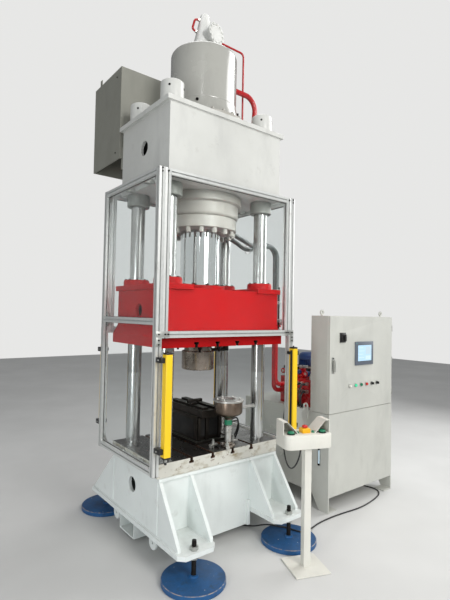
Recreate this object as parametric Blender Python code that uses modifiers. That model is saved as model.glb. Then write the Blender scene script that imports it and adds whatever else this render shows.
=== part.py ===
"""Four-column hydraulic press with guard, power unit and two-hand control.

Metres, +Z up. The press stands about its own centre line: X runs along its front, Y to its back and
Z up from the floor. One empty carries every piece so that the row's origin lies on the floor under
the middle of the whole machine.
"""
import math

import bmesh
import bpy
from mathutils import Matrix, Vector

# Gaps and overruns
SEAT = 0.0003            # between faces that rest on each other
RUN = 0.0005             # round a shaft or a cap that slides
OVERRUN = 0.02           # how far a cutter passes the face that it opens
WELD = 0.002             # how far a welded member reaches into its neighbour
SIDES = (-1, 1)

# Columns
COLUMN_X = 0.44
COLUMN_Y = 0.24
COLUMN_RADIUS = 0.055
COLUMN_FOOT_Z = 0.40
NUT_RADIUS = 0.086
FOOT_NUT_RADIUS = 0.077
FOOT_NUT_HEIGHT = 0.09
CROWN_NUT_HEIGHT = 0.16
NUT_CHAMFER = 0.008
COLLAR_RADIUS = 0.088
COLLAR_HEIGHT = 0.095
SPANNER_HOLE_RADIUS = 0.009
SPANNER_HOLE_DEPTH = 0.02
SPANNER_HOLE_DROP = 0.05
SPANNER_HOLES = 4

# Bed
BED_MARGIN = 0.105
BED_WIDTH = 2 * (COLUMN_X + BED_MARGIN)
BED_DEPTH = 2 * (COLUMN_Y + BED_MARGIN)
BED_WALL = 0.025
BED_TOP = 0.583
BED_FLANGE = 0.022
BED_FLANGE_REACH = 0.018
FOOT_TOP = 0.20
FOOT_THICKNESS = 0.03
FOOT_LIP = 0.015
FOOT_WIDTH = 0.29
FOOT_FRONT = 0.668
FOOT_BACK = 0.775
FOOT_CORNER = 0.04
RIB_THICKNESS = 0.025
RIB_NOSE = 0.02
RIB_SETBACK = 0.06
BELLY_BOTTOM = 0.07
BAR_HOLE_RADIUS = 0.055
BED_HOLE_Y = 0.03
BED_HOLE_Z = 0.434
BELLY_OPENING = 0.34
CORNER_BAR_WIDTH = 0.026
CORNER_BAR_DEPTH = 0.022
CORNER_BAR_TOP = 0.26
LUG_THICKNESS = 0.014
LUG_WIDTH = 0.095
LUG_DROP = 0.10
LUG_HOLE_RADIUS = 0.011
LUG_INSET = 0.045
LUG_Y = (-0.25, 0.33)
POCKET_WIDTH = 0.24
POCKET_HEIGHT = 0.135
POCKET_WALL = 0.010
POCKET_Y = 0.13
POCKET_INSET = 0.03

# Levelling mounts
PAD_RADIUS = 0.207
PAD_HEIGHT = 0.035
PAD_EDGE = 0.006
STUD_RADIUS = 0.016
STUD_RISE = 0.062
STUD_TOP = FOOT_TOP + STUD_RISE
STUD_SETBACK = 0.045
STUD_INSET = 0.129
STUD_NUT_RADIUS = 0.028
STUD_NUT_HEIGHT = 0.024
SOCKET_RADIUS = 0.03
SOCKET_HEIGHT = 0.012

# Bolster and slots
BOLSTER_MARGIN_X = 0.115
BOLSTER_MARGIN_Y = 0.113
BOLSTER_WIDTH = 2 * (COLUMN_X + BOLSTER_MARGIN_X)
BOLSTER_DEPTH = 2 * (COLUMN_Y + BOLSTER_MARGIN_Y)
BOLSTER_HEIGHT = 0.097
BOLSTER_TOP = BED_TOP + BOLSTER_HEIGHT
SLOT_PITCH = 0.187
SLOT_COUNT = 4
SLOT_NECK = 0.022
SLOT_HEAD = 0.038
SLOT_HEAD_HEIGHT = 0.015
SLOT_DEPTH = 0.036
LIFT_HOLE_RADIUS = 0.016
LIFT_HOLE_DEPTH = 0.03
LIFT_HOLE_Y = 0.20

# Slide
SLIDE_BOTTOM = 1.46
SLIDE_MARGIN_X = 0.125
SLIDE_MARGIN_Y = 0.145
SLIDE_PLATE_WIDTH = 2 * (COLUMN_X + SLIDE_MARGIN_X)
SLIDE_PLATE_DEPTH = 2 * (COLUMN_Y + SLIDE_MARGIN_Y)
SLIDE_PLATE_HEIGHT = 0.07
SLIDE_TAPER = 0.07
SLIDE_STEP = 0.027
SLIDE_WIDTH = SLIDE_PLATE_WIDTH - 2 * SLIDE_STEP
SLIDE_DEPTH = SLIDE_PLATE_DEPTH - 2 * SLIDE_STEP
SLIDE_HEIGHT = 0.408
SLIDE_SHOULDER = SLIDE_BOTTOM + SLIDE_HEIGHT
SLIDE_WALL = 0.025
LIP_HEIGHT = 0.037
LIP_REACH = 0.017
LIP_INNER = 0.305
SLIDE_MIDDLE_RISE = 0.012
SLIDE_MIDDLE_TOP = SLIDE_SHOULDER + SLIDE_MIDDLE_RISE
BUSH_RADIUS = 0.102
BUSH_HEIGHT = 0.035
SLIDE_HOLE_RADIUS = 0.048
SLIDE_HOLE_RISE = 0.255
SLIDE_HOLE_Z = SLIDE_BOTTOM + SLIDE_HOLE_RISE

# Crown
CROWN_MARGIN_X = 0.09
CROWN_MARGIN_Y = 0.13
CROWN_WIDTH = 2 * (COLUMN_X + CROWN_MARGIN_X)
CROWN_DEPTH = 2 * (COLUMN_Y + CROWN_MARGIN_Y)
CROWN_GAP = 0.75
CROWN_BOTTOM = SLIDE_MIDDLE_TOP + CROWN_GAP
CROWN_HEIGHT = 0.57
CROWN_TOP = CROWN_BOTTOM + CROWN_HEIGHT
CROWN_PLATE = 0.034
CROWN_OVERHANG_X = 0.027
CROWN_OVERHANG_Y = 0.016
CROWN_WALL = 0.025
CROWN_HOLE_Y = 0.0
CROWN_HOLE_RISE = 0.30
CROWN_HOLE_Z = CROWN_BOTTOM + CROWN_HOLE_RISE

# Main cylinder, gland and ram
RAM_RADIUS = 0.163
RAM_RISE = 0.17
RAM_TOP = CROWN_BOTTOM + RAM_RISE
PISTON_RADIUS = 0.199
PISTON_HEIGHT = 0.10
RAM_FLANGE_RADIUS = 0.205
RAM_FLANGE_HEIGHT = 0.04
BARREL_BORE = 0.2
BARREL_RADIUS = 0.265
BODY_RADIUS = 0.302
COLLAR_RING_HEIGHT = 0.07
BODY_HEIGHT = 0.108
BODY_TOP = CROWN_BOTTOM - COLLAR_RING_HEIGHT
BODY_BOTTOM = BODY_TOP - BODY_HEIGHT
BODY_EDGE = 0.02
COLLAR_RING_RADIUS = 0.328
GLAND_HEIGHT = 0.092
GLAND_BOTTOM = BODY_BOTTOM - GLAND_HEIGHT
GLAND_RADIUS = 0.29
GLAND_BOLTS = 16
GLAND_BOLT_CIRCLE = 0.262
GLAND_BOLT_RADIUS = 0.019
GLAND_BOLT_HEIGHT = 0.042
PORT_RADIUS = 0.034
PORT_REACH = 0.02
PORT_RISE = 0.045
FLANGE_RADIUS = 0.355
FLANGE_HEIGHT = 0.04
FLANGE_BOLTS = 24
FLANGE_BOLT_CIRCLE = 0.337
FLANGE_BOLT_RADIUS = 0.014
FLANGE_BOLT_HEIGHT = 0.022

# Prefill tank, its valve and its pipes
TANK_RADIUS = 0.272
TANK_WALL = 0.008
TANK_RISE = 0.60
TANK_DOME = 0.152
TANK_SHOULDER = CROWN_TOP + TANK_RISE
TANK_HEAD = TANK_SHOULDER + TANK_DOME
SKIRT_RADIUS = 0.312
SKIRT_HEIGHT = 0.13
VALVE_BASE_RADIUS = 0.125
VALVE_NECK_RADIUS = 0.098
VALVE_TOP_RADIUS = 0.045
VALVE_RISE = 0.238
VALVE_TOP = TANK_HEAD + VALVE_RISE
VALVE_BASE_HEIGHT = 0.022
COVER_RADIUS = 0.112
COVER_THICKNESS = 0.024
COVER_RISE = 0.103
COVER_Z = TANK_HEAD + COVER_RISE
COVER_Y = -0.115
COVER_BOLTS = 12
COVER_BOLT_CIRCLE = 0.094
COVER_BOLT_RADIUS = 0.011
COVER_BOLT_HEIGHT = 0.01
PILOT_RADIUS = 0.0085
PILOT_X = 0.425
PILOT_RISE = 0.078
PILOT_Z = TANK_HEAD + PILOT_RISE
FILL_RADIUS = 0.022
FILL_Y = -0.05
FILL_RISE = 0.48
FILL_Z = CROWN_TOP + FILL_RISE
FILL_REACH = 0.005
FILL_INSET = 0.03
FILL_X = CROWN_WIDTH / 2 + FILL_REACH
FILL_FOOT_X = CROWN_WIDTH / 2 - FILL_INSET
BEND_STEPS = 6

# Service box behind the crown
SERVICE_GAP = 0.006
SERVICE_DEPTH = 0.553
SERVICE_DROP = 0.24
SERVICE_HEIGHT = 0.765
SERVICE_FRONT = CROWN_DEPTH / 2 + CROWN_OVERHANG_Y + SERVICE_GAP
SERVICE_BACK = SERVICE_FRONT + SERVICE_DEPTH
SERVICE_BOTTOM = CROWN_TOP - SERVICE_DROP
SERVICE_TOP = SERVICE_BOTTOM + SERVICE_HEIGHT
SERVICE_REACH = 0.02
SERVICE_WIDTH = CROWN_WIDTH + 2 * SERVICE_REACH
SERVICE_WALL = 0.012
SERVICE_BRACKET_WIDTH = 0.10
SERVICE_BRACKET_DROP = 0.09

# Guard
BAR = 0.045
GUARD_GAP_X = 0.0325
GUARD_GAP_Y = 0.0135
GUARD_DROP = 0.042
GUARD_LAP = 0.035
GUARD_WIDTH = SLIDE_PLATE_WIDTH + 2 * (GUARD_GAP_X + BAR)
GUARD_DEPTH = SLIDE_PLATE_DEPTH + 2 * (GUARD_GAP_Y + BAR)
GUARD_BOTTOM = BOLSTER_TOP - GUARD_DROP
GUARD_TOP = CROWN_BOTTOM + GUARD_LAP
GROOVE = 0.008
GROOVE_DEPTH = 0.012
RAIL_STEP = 0.0004
PANE = GROOVE - 2 * SEAT
PANE_GRIP = 0.008
SIDE_RAIL_RISE = 0.18
WINDOW_RISE = 0.0725
SIDE_RAIL_Z = SLIDE_BOTTOM + SIDE_RAIL_RISE
WINDOW_BOTTOM = SLIDE_BOTTOM + WINDOW_RISE
STAY_Y = 0.15
STAY_WIDTH = 0.05
STAY_HEIGHT = 0.03
LINE_HOLE_RADIUS = 0.045

# Light curtains
CURTAIN_INSET = 0.035
CURTAIN_WIDTH = 0.048
CURTAIN_DEPTH = 0.052
CURTAIN_RISE = 0.127
CURTAIN_HEIGHT = 0.68
CURTAIN_BOTTOM = GUARD_BOTTOM + CURTAIN_RISE
CURTAIN_TOP = CURTAIN_BOTTOM + CURTAIN_HEIGHT
CURTAIN_OFFSET = 0.034
CURTAIN_CAP = 0.014
CURTAIN_CAP_INSET = 0.004
CURTAIN_WINDOW = 0.022
CURTAIN_WINDOW_DEPTH = 0.004
CURTAIN_STAY_HEIGHT = 0.035
CURTAIN_STAY_INSET = 0.05

# Tooling
DIE_RADIUS = 0.131
DIE_NECK_RADIUS = 0.112
DIE_NECK_HEIGHT = 0.06
DIE_DROP = 0.21
DIE_BOTTOM = SLIDE_BOTTOM - DIE_DROP
DIE_EDGE = 0.01
DIE_PLATE_RADIUS = 0.125
DIE_PLATE_HEIGHT = 0.022
TABLE_X = (-0.065, 0.165)
TABLE_Y = (-0.10, 0.35)
TABLE_BODY_HEIGHT = 0.205
TABLE_BODY_TOP = BOLSTER_TOP + TABLE_BODY_HEIGHT
TABLE_OVERHANG_FRONT = 0.05
TABLE_OVERHANG_SIDE = 0.012
TABLE_PLATE_HEIGHT = 0.055
TABLE_TOP = TABLE_BODY_TOP + TABLE_PLATE_HEIGHT
RAIL_WIDTH = 0.05
RAIL_HEIGHT = 0.018
RAIL_X = (0.0, 0.10)
TABLE_FOOT = 0.03
TABLE_FOOT_HEIGHT = 0.02
JIG_X = 0.10
JIG_Y = -0.285
JIG_FOOT_RADIUS = 0.055
JIG_FOOT_HEIGHT = 0.02
JIG_STEM_RADIUS = 0.026
JIG_STEM_HEIGHT = 0.22
JIG_STEM_TOP = BOLSTER_TOP + JIG_STEM_HEIGHT
JIG_CUP_RADIUS = 0.108
JIG_CUP_RISE = 0.045
JIG_CUP_HEIGHT = 0.083
JIG_CUP_BOTTOM = JIG_STEM_TOP + JIG_CUP_RISE
JIG_CUP_TOP = JIG_CUP_BOTTOM + JIG_CUP_HEIGHT
JIG_RIM_RADIUS = 0.118
JIG_RIM_HEIGHT = 0.014
JIG_BORE_RADIUS = 0.04
JIG_BORE_DEPTH = 0.03

# Two-hand control
CONSOLE_X = 0.275
CONSOLE_Y = -0.929
CONSOLE_TURN = math.radians(-21.5)
CONSOLE_FOOT = 0.25
CONSOLE_FOOT_HEIGHT = 0.010
CONSOLE_POST = 0.05
CONSOLE_BOTTOM = 0.80
CONSOLE_HEIGHT = 0.093
CONSOLE_TOP = CONSOLE_BOTTOM + CONSOLE_HEIGHT
CONSOLE_WIDTH = 0.35
CONSOLE_DEPTH = 0.175
CONSOLE_BACK_SHIFT = 0.035
CONSOLE_CORNER = 0.045
HOOD_HEIGHT = 0.085
HOOD_FLAT = 0.03
HOOD_WIDTH = 0.115
HOOD_DEPTH = 0.12
HOOD_SHEET = 0.004
PALM_X = 0.118
PALM_Y = 0.005
PALM_RADIUS = 0.024
PALM_HEIGHT = 0.014
PALM_STEM_RADIUS = 0.012
PALM_STEM = 0.016
PALM_WELL_DEPTH = 0.03
PALM_TRAVEL = 0.008
STOP_WIDTH = 0.06
STOP_HEIGHT = 0.03
STOP_RADIUS = 0.020
STOP_CAP_HEIGHT = 0.014
STOP_STEM_RADIUS = 0.010
STOP_STEM = 0.012

# Power unit tank
UNIT_AISLE = 0.3875
UNIT_WIDTH = 0.97
UNIT_DEPTH = 1.093
UNIT_LEFT = GUARD_WIDTH / 2 + UNIT_AISLE
UNIT_RIGHT = UNIT_LEFT + UNIT_WIDTH
UNIT_FRONT = -0.513
UNIT_BACK = UNIT_FRONT + UNIT_DEPTH
TANK_FLOOR = 0.13
TANK_HEIGHT = 0.715
TANK_TOP = TANK_FLOOR + TANK_HEIGHT
SHEET = 0.010
LEG_DEPTH = 0.20
LEG_CUT = 0.08
LEG_FOOT_WIDTH = 0.12
LEG_FOOT_DEPTH = 0.10
LEG_FOOT_HEIGHT = 0.010
TANK_SHELF_DEPTH = 0.213
TANK_SHELF_BACK = UNIT_FRONT + TANK_SHELF_DEPTH
UNIT_LUG_WIDTH = 0.055
UNIT_LUG_RISE = 0.06
UNIT_LUG_DROP = 0.075
UNIT_LUG_SETBACK = 0.27
UNIT_LUG_TOP = TANK_TOP + UNIT_LUG_RISE
UNIT_LUG_BOTTOM = TANK_TOP - UNIT_LUG_DROP
UNIT_LUG_Y = UNIT_FRONT + UNIT_LUG_SETBACK
UNIT_LUG_HOLE = 0.014
HATCH_RADIUS = 0.15
HATCH_HEIGHT = 0.014
HATCH_SETBACK = 0.673
HATCH_RISE = 0.34
HATCH_Y = UNIT_FRONT + HATCH_SETBACK
HATCH_Z = TANK_FLOOR + HATCH_RISE
HATCH_BOLTS = 10
HATCH_BOLT_RADIUS = 0.009
HATCH_BOLT_HEIGHT = 0.008
HATCH_BOLT_INSET = 0.018
CABLE_GLAND_RADIUS = 0.012
CABLE_GLAND_HEIGHT = 0.02

# Electric cabinet and its door
CABINET_HEIGHT = 0.855
CABINET_DEPTH = 0.209
CABINET_TOP = TANK_TOP + CABINET_HEIGHT
CABINET_BACK = UNIT_FRONT + CABINET_DEPTH
CABINET_WALL = 0.012
DOOR_THICKNESS = 0.02
DOOR_MARGIN = 0.003
DOOR_SKIN = 0.003
DOOR_RIM = 0.012
CARD_PLATE = 0.006
CARD_MARGIN = 0.05
EYE_RADIUS = 0.018
EYE_WIRE = 0.006
EYE_INSET = 0.03
SCREEN_LEFT = 0.355
SCREEN_RISE = 0.407
SCREEN_WIDTH = 0.275
SCREEN_HEIGHT = 0.214
SCREEN_X = (UNIT_LEFT + SCREEN_LEFT, UNIT_LEFT + SCREEN_LEFT + SCREEN_WIDTH)
SCREEN_Z = (TANK_TOP + SCREEN_RISE, TANK_TOP + SCREEN_RISE + SCREEN_HEIGHT)
SCREEN_STAND = 0.012
SCREEN_BORDER = 0.032
SCREEN_RECESS = 0.004
SWITCH_INSET = 0.172
SWITCH_RISE = 0.663
SWITCH_X = UNIT_LEFT + SWITCH_INSET
SWITCH_Z = TANK_TOP + SWITCH_RISE
SWITCH_PLATE = 0.095
SWITCH_PLATE_HEIGHT = 0.006
SWITCH_KNOB_RADIUS = 0.033
SWITCH_KNOB_HEIGHT = 0.018
SWITCH_GRIP_WIDTH = 0.018
SWITCH_GRIP_HEIGHT = 0.02
HANDLE_INSET = 0.047
HANDLE_RISE = 0.46
HANDLE_X = UNIT_LEFT + HANDLE_INSET
HANDLE_Z = TANK_TOP + HANDLE_RISE
HANDLE_LENGTH = 0.095
HANDLE_WIDTH = 0.02
HANDLE_THICKNESS = 0.012
HANDLE_BOSS_RADIUS = 0.013
HANDLE_BOSS_HEIGHT = 0.012
BUTTON_RISE = 0.225
BUTTON_INSET = 0.286
BUTTON_Z = TANK_TOP + BUTTON_RISE
BUTTON_START_X = UNIT_LEFT + BUTTON_INSET
BUTTON_PITCH = 0.084
BUTTON_STRIP = 0.035
BUTTON_NAMES = ("", "run_button", "start_button", "stop_push_button", "mode_selector", "key_selector")
RING_RADIUS = 0.0175
RING_HEIGHT = 0.006
CAP_RADIUS = 0.0125
CAP_REACH = 0.012
CAP_TRAVEL = 0.005
WELL_DEPTH = 0.014
LAMP_HEIGHT = 0.014
SELECTOR_BAR = 0.007
SELECTOR_BAR_HEIGHT = 0.012

# Pump, valves and lines on the tank
MOTOR_INSET = 0.59
MOTOR_SETBACK = 0.693
MOTOR_X = UNIT_LEFT + MOTOR_INSET
MOTOR_Y = UNIT_FRONT + MOTOR_SETBACK
MOTOR_RADIUS = 0.15
MOTOR_LENGTH = 0.36
MOTOR_FLANGE_RADIUS = 0.175
MOTOR_FLANGE_HEIGHT = 0.03
MOTOR_FINS = 20
MOTOR_FIN_DEPTH = 0.012
MOTOR_FIN_WIDTH = 0.012
MOTOR_COWL_HEIGHT = 0.07
MOTOR_CAP_RADIUS = 0.10
VALVE_BLOCK_INSET = 0.09
VALVE_BLOCK_WIDTH = 0.18
VALVE_BLOCK_HEIGHT = 0.255
VALVE_BLOCK_X = (UNIT_LEFT + VALVE_BLOCK_INSET, UNIT_LEFT + VALVE_BLOCK_INSET + VALVE_BLOCK_WIDTH)
VALVE_BLOCK_Y = (-0.24, 0.16)
VALVE_BLOCK_TOP = TANK_TOP + VALVE_BLOCK_HEIGHT
STACK_WIDTH = 0.07
STACK_HEIGHT = 0.10
STACK_Y_SHARES = (0.14, 0.5, 0.86)
COIL_RADIUS = 0.026
COIL_LENGTH = 0.085
COIL_RISE = 0.055
CARTRIDGE_RADIUS = 0.035
CARTRIDGE_HEIGHT = 0.20
LINE_RADIUS = 0.021
LINE_FLANGE_RADIUS = 0.04
LINE_FLANGE_LENGTH = 0.022
PRESSURE_LINE_Y = 0.02
PRESSURE_WALL_DROP = 0.09
PRESSURE_CREST_DROP = 0.07
PRESSURE_CREST = 0.1575
PRESSURE_FALL = 0.2625
PRESSURE_ELBOW = 0.20
RETURN_LINE_Y = 0.12
RETURN_WALL_DROP = 0.105
RETURN_CREST_DROP = 0.04
RETURN_CREST = 0.2075
RETURN_FALL = 0.3325
RETURN_ELBOW = 0.125
RETURN_BLOCK_Y = 0.11

# Turning resolution
COARSE = 12
ROUND = 20
FINE = 32

# Cable routes, from gland to gland: places over the floor, chosen by hand
CABLE_RADIUS = 0.0055
FLOOR_CABLE = (
    (1.800, -0.200, 0.1095), (1.800, -0.200, 0.088), (1.805, -0.216, 0.048), (1.817, -0.258, 0.015),
    (1.835, -0.320, 0.0060), (1.852, -0.400, 0.0060), (1.840, -0.465, 0.0060), (1.775, -0.525, 0.0060),
    (1.680, -0.558, 0.0060), (1.560, -0.582, 0.0060), (1.430, -0.598, 0.0060), (1.300, -0.598, 0.0060),
    (1.170, -0.584, 0.0060), (1.040, -0.575, 0.0060), (0.920, -0.574, 0.0060), (0.820, -0.582, 0.0060),
    (0.740, -0.600, 0.0080), (0.690, -0.622, 0.0200), (0.650, -0.642, 0.0370), (0.600, -0.656, 0.0420),
    (0.550, -0.640, 0.0418), (0.525, -0.590, 0.0418), (0.505, -0.530, 0.0418), (0.470, -0.475, 0.0418),
    (0.435, -0.425, 0.0425), (0.405, -0.375, 0.0330), (0.375, -0.325, 0.0140), (0.345, -0.285, 0.0060),
    (0.310, -0.245, 0.0060), (0.262, -0.216, 0.0075), (0.232, -0.201, 0.0170), (0.222, -0.196, 0.0310),
    (0.222, -0.196, 0.0395),
)
CONSOLE_CABLE = (
    (0.330, -0.822, 0.7775), (0.330, -0.822, 0.750), (0.335, -0.810, 0.706), (0.350, -0.780, 0.655),
    (0.375, -0.735, 0.605), (0.412, -0.675, 0.562), (0.460, -0.602, 0.532), (0.515, -0.525, 0.520),
    (0.575, -0.448, 0.524), (0.637, -0.372, 0.545), (0.698, -0.300, 0.584), (0.757, -0.236, 0.640),
    (0.815, -0.180, 0.712), (0.868, -0.136, 0.790), (0.912, -0.106, 0.855), (0.948, -0.090, 0.895),
    (0.985, -0.082, 0.919), (1.022, -0.080, 0.922), (1.049, -0.080, 0.908), (1.058, -0.080, 0.886),
    (1.058, -0.080, 0.8655),
)


# Places worked out from the sizes above

FOOT_BOTTOM = FOOT_TOP - FOOT_THICKNESS
FOOT_OUTER = BED_WIDTH / 2 + FOOT_LIP
FOOT_INNER = FOOT_OUTER - FOOT_WIDTH
BED_BOTTOM = FOOT_TOP + SEAT
BED_DECK = BED_TOP - BED_FLANGE
BOLSTER_BOTTOM = BED_TOP + SEAT
COLUMN_PLACES = {
    "front_left": (-COLUMN_X, -COLUMN_Y), "front_right": (COLUMN_X, -COLUMN_Y),
    "rear_left": (-COLUMN_X, COLUMN_Y), "rear_right": (COLUMN_X, COLUMN_Y),
}
STUD_X = FOOT_OUTER - STUD_INSET
STUD_FRONT_Y = -FOOT_FRONT + STUD_SETBACK
STUD_BACK_Y = FOOT_BACK - STUD_SETBACK
POST_X = GUARD_WIDTH / 2 - BAR / 2
POST_Y = GUARD_DEPTH / 2 - BAR / 2
STILE_X = POST_X - BAR - SEAT
CURTAIN_X = POST_X - CURTAIN_INSET
CURTAIN_Y = GUARD_DEPTH / 2 + CURTAIN_OFFSET + CURTAIN_DEPTH / 2
DOOR_BACK = UNIT_FRONT + DOOR_THICKNESS
CABINET_BOTTOM = TANK_TOP + SEAT
VALVE_BLOCK_BOTTOM = TANK_TOP + SEAT
CONSOLE_REACH = CONSOLE_FOOT / 2 * (math.cos(CONSOLE_TURN) - math.sin(CONSOLE_TURN))
MACHINE_LEFT = -GUARD_WIDTH / 2
MACHINE_FRONT = CONSOLE_Y - CONSOLE_REACH
MIDDLE_X = (MACHINE_LEFT + UNIT_RIGHT) / 2
MIDDLE_Y = (MACHINE_FRONT + SERVICE_BACK) / 2
PORT_Z = GLAND_BOTTOM + PORT_RISE
GUARD_RIGHT = GUARD_WIDTH / 2
LINES = {
    "pressure_line": {"port_z": PORT_Z, "port_y": PRESSURE_LINE_Y, "wall_z": PORT_Z - PRESSURE_WALL_DROP,
                      "crest_z": PORT_Z - PRESSURE_CREST_DROP, "crest_x": GUARD_RIGHT + PRESSURE_CREST,
                      "drop_x": GUARD_RIGHT + PRESSURE_FALL, "elbow_z": TANK_TOP + PRESSURE_ELBOW,
                      "block_y": PRESSURE_LINE_Y},
    "return_line": {"port_z": PORT_Z, "port_y": RETURN_LINE_Y, "wall_z": PORT_Z - RETURN_WALL_DROP,
                    "crest_z": PORT_Z - RETURN_CREST_DROP, "crest_x": GUARD_RIGHT + RETURN_CREST,
                    "drop_x": GUARD_RIGHT + RETURN_FALL, "elbow_z": TANK_TOP + RETURN_ELBOW,
                    "block_y": RETURN_BLOCK_Y},
}


# Scene, objects and finishes

for leftover in list(bpy.data.objects):
    bpy.data.objects.remove(leftover, do_unlink=True)

scene = bpy.context.scene
pieces = bpy.data.collections.new("hydraulic_press")
cutters = bpy.data.collections.new("cutters")
scene.collection.children.link(pieces)
scene.collection.children.link(cutters)

datum = bpy.data.objects.new("machine_datum", None)
datum.location = (-MIDDLE_X, -MIDDLE_Y, 0)
pieces.objects.link(datum)


def finish(name, colour, roughness, metallic=0.0, alpha=1.0):
    """A plain Principled material."""
    material = bpy.data.materials.new(name)
    material.use_nodes = True
    shader = material.node_tree.nodes["Principled BSDF"]
    shader.inputs["Base Color"].default_value = (*colour, 1)
    shader.inputs["Roughness"].default_value = roughness
    shader.inputs["Metallic"].default_value = metallic
    shader.inputs["Alpha"].default_value = alpha
    material.diffuse_color = (*colour, alpha)
    return material


white_paint = finish("white_paint", (0.72, 0.74, 0.73), 0.45)
grey_paint = finish("grey_paint", (0.60, 0.61, 0.60), 0.35)
red_paint = finish("red_paint", (0.62, 0.01, 0.015), 0.3)
pipe_red = finish("pipe_red", (0.50, 0.01, 0.015), 0.3)
pad_blue = finish("pad_blue", (0.02, 0.11, 0.26), 0.5)
machined_steel = finish("machined_steel", (0.30, 0.30, 0.29), 0.4, 0.9)
column_steel = finish("column_steel", (0.42, 0.42, 0.42), 0.25, 1.0)
ram_chrome = finish("ram_chrome", (0.75, 0.75, 0.75), 0.08, 1.0)
anodised = finish("anodised", (0.62, 0.63, 0.64), 0.35, 0.9)
clear_pane = finish("clear_pane", (0.85, 0.88, 0.88), 0.05, 0.0, 0.25)
curtain_yellow = finish("curtain_yellow", (0.85, 0.52, 0.01), 0.4)
tool_steel = finish("tool_steel", (0.06, 0.055, 0.05), 0.4, 0.7)
cabinet_grey = finish("cabinet_grey", (0.52, 0.51, 0.46), 0.5)
console_white = finish("console_white", (0.74, 0.72, 0.66), 0.45)
palm_green = finish("palm_green", (0.01, 0.25, 0.12), 0.35)
signal_red = finish("signal_red", (0.60, 0.02, 0.02), 0.35)
black_plastic = finish("black_plastic", (0.015, 0.015, 0.017), 0.4)
cable_black = finish("cable_black", (0.02, 0.02, 0.02), 0.6)
motor_blue = finish("motor_blue", (0.02, 0.06, 0.20), 0.45)


def link(name, mesh, material):
    """Put a mesh in the scene: a piece if it has a finish, a hidden tool if it has none."""
    item = bpy.data.objects.new(name, mesh)
    item.parent = datum
    if material is None:
        cutters.objects.link(item)
        item.hide_render = True
        item.display_type = "WIRE"
    else:
        pieces.objects.link(item)
        mesh.materials.append(material)
    return item


def to_mesh(name, bm):
    """Turn a bmesh into mesh data with outward faces."""
    bmesh.ops.recalc_face_normals(bm, faces=bm.faces)
    mesh = bpy.data.meshes.new(name)
    bm.to_mesh(mesh)
    bm.free()
    return mesh


def block(name, low, high, material=None, bevel=0.0):
    """A box between two corners, with its origin at its middle."""
    low, high = Vector(low), Vector(high)
    bm = bmesh.new()
    bmesh.ops.create_cube(bm, size=1)
    bmesh.ops.scale(bm, vec=high - low, verts=bm.verts)
    item = link(name, to_mesh(name, bm), material)
    item.location = (low + high) / 2
    if bevel:
        soften(item, bevel)
    return item


def soften(item, width, segments=2):
    """Round the edges of a piece."""
    edge = item.modifiers.new("rounded_edges", "BEVEL")
    edge.width = width
    edge.segments = segments
    edge.limit_method = "ANGLE"
    return item


def drum(name, centre, radius, length, material=None, axis="Z", sides=ROUND, top_radius=None):
    """A cylinder or a cone about its centre, along one of the axes."""
    bm = bmesh.new()
    upper = radius if top_radius is None else top_radius
    bmesh.ops.create_cone(bm, cap_ends=True, segments=sides, radius1=radius, radius2=upper, depth=length)
    if axis == "X":
        bmesh.ops.rotate(bm, matrix=Matrix.Rotation(math.pi / 2, 3, "Y"), verts=bm.verts)
    if axis == "Y":
        bmesh.ops.rotate(bm, matrix=Matrix.Rotation(math.pi / 2, 3, "X"), verts=bm.verts)
    mesh = to_mesh(name, bm)
    mesh.shade_smooth()
    mesh.set_sharp_from_angle(angle=math.radians(40))
    item = link(name, mesh, material)
    item.location = centre
    return item


def bolt_ring(name, centre, circle, count, radius, height, axis="Z", sides=6):
    """Bolt heads round a circle, as one hidden tool that a carrier takes in."""
    bm = bmesh.new()
    for index in range(count):
        angle = 2 * math.pi * (index + 0.5) / count
        head = bmesh.ops.create_cone(bm, cap_ends=True, segments=sides, radius1=radius, radius2=radius,
                                     depth=height)
        offset = Vector((circle * math.cos(angle), circle * math.sin(angle), 0))
        bmesh.ops.translate(bm, vec=offset, verts=head["verts"])
    if axis == "Y":
        bmesh.ops.rotate(bm, matrix=Matrix.Rotation(math.pi / 2, 3, "X"), verts=bm.verts)
    if axis == "X":
        bmesh.ops.rotate(bm, matrix=Matrix.Rotation(math.pi / 2, 3, "Y"), verts=bm.verts)
    item = link(name, to_mesh(name, bm), None)
    item.location = centre
    return item


def turned(name, profile, centre, material=None, steps=ROUND):
    """Turn a profile of (radius, height) pairs, listed down its outer side, about a vertical axis."""
    bm = bmesh.new()
    verts = [bm.verts.new((radius, 0, height)) for radius, height in profile]
    for first, second in zip(verts, verts[1:]):
        bm.edges.new((first, second))
    if profile[0][0] > 0:
        bm.edges.new((verts[-1], verts[0]))
    mesh = bpy.data.meshes.new(name)
    bm.to_mesh(mesh)
    bm.free()
    item = link(name, mesh, material)
    item.location = centre
    screw = item.modifiers.new("turning", "SCREW")
    screw.steps = steps
    screw.render_steps = steps
    screw.use_merge_vertices = True
    screw.merge_threshold = 0.0001
    screw.use_smooth_shade = False
    return item


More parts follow.
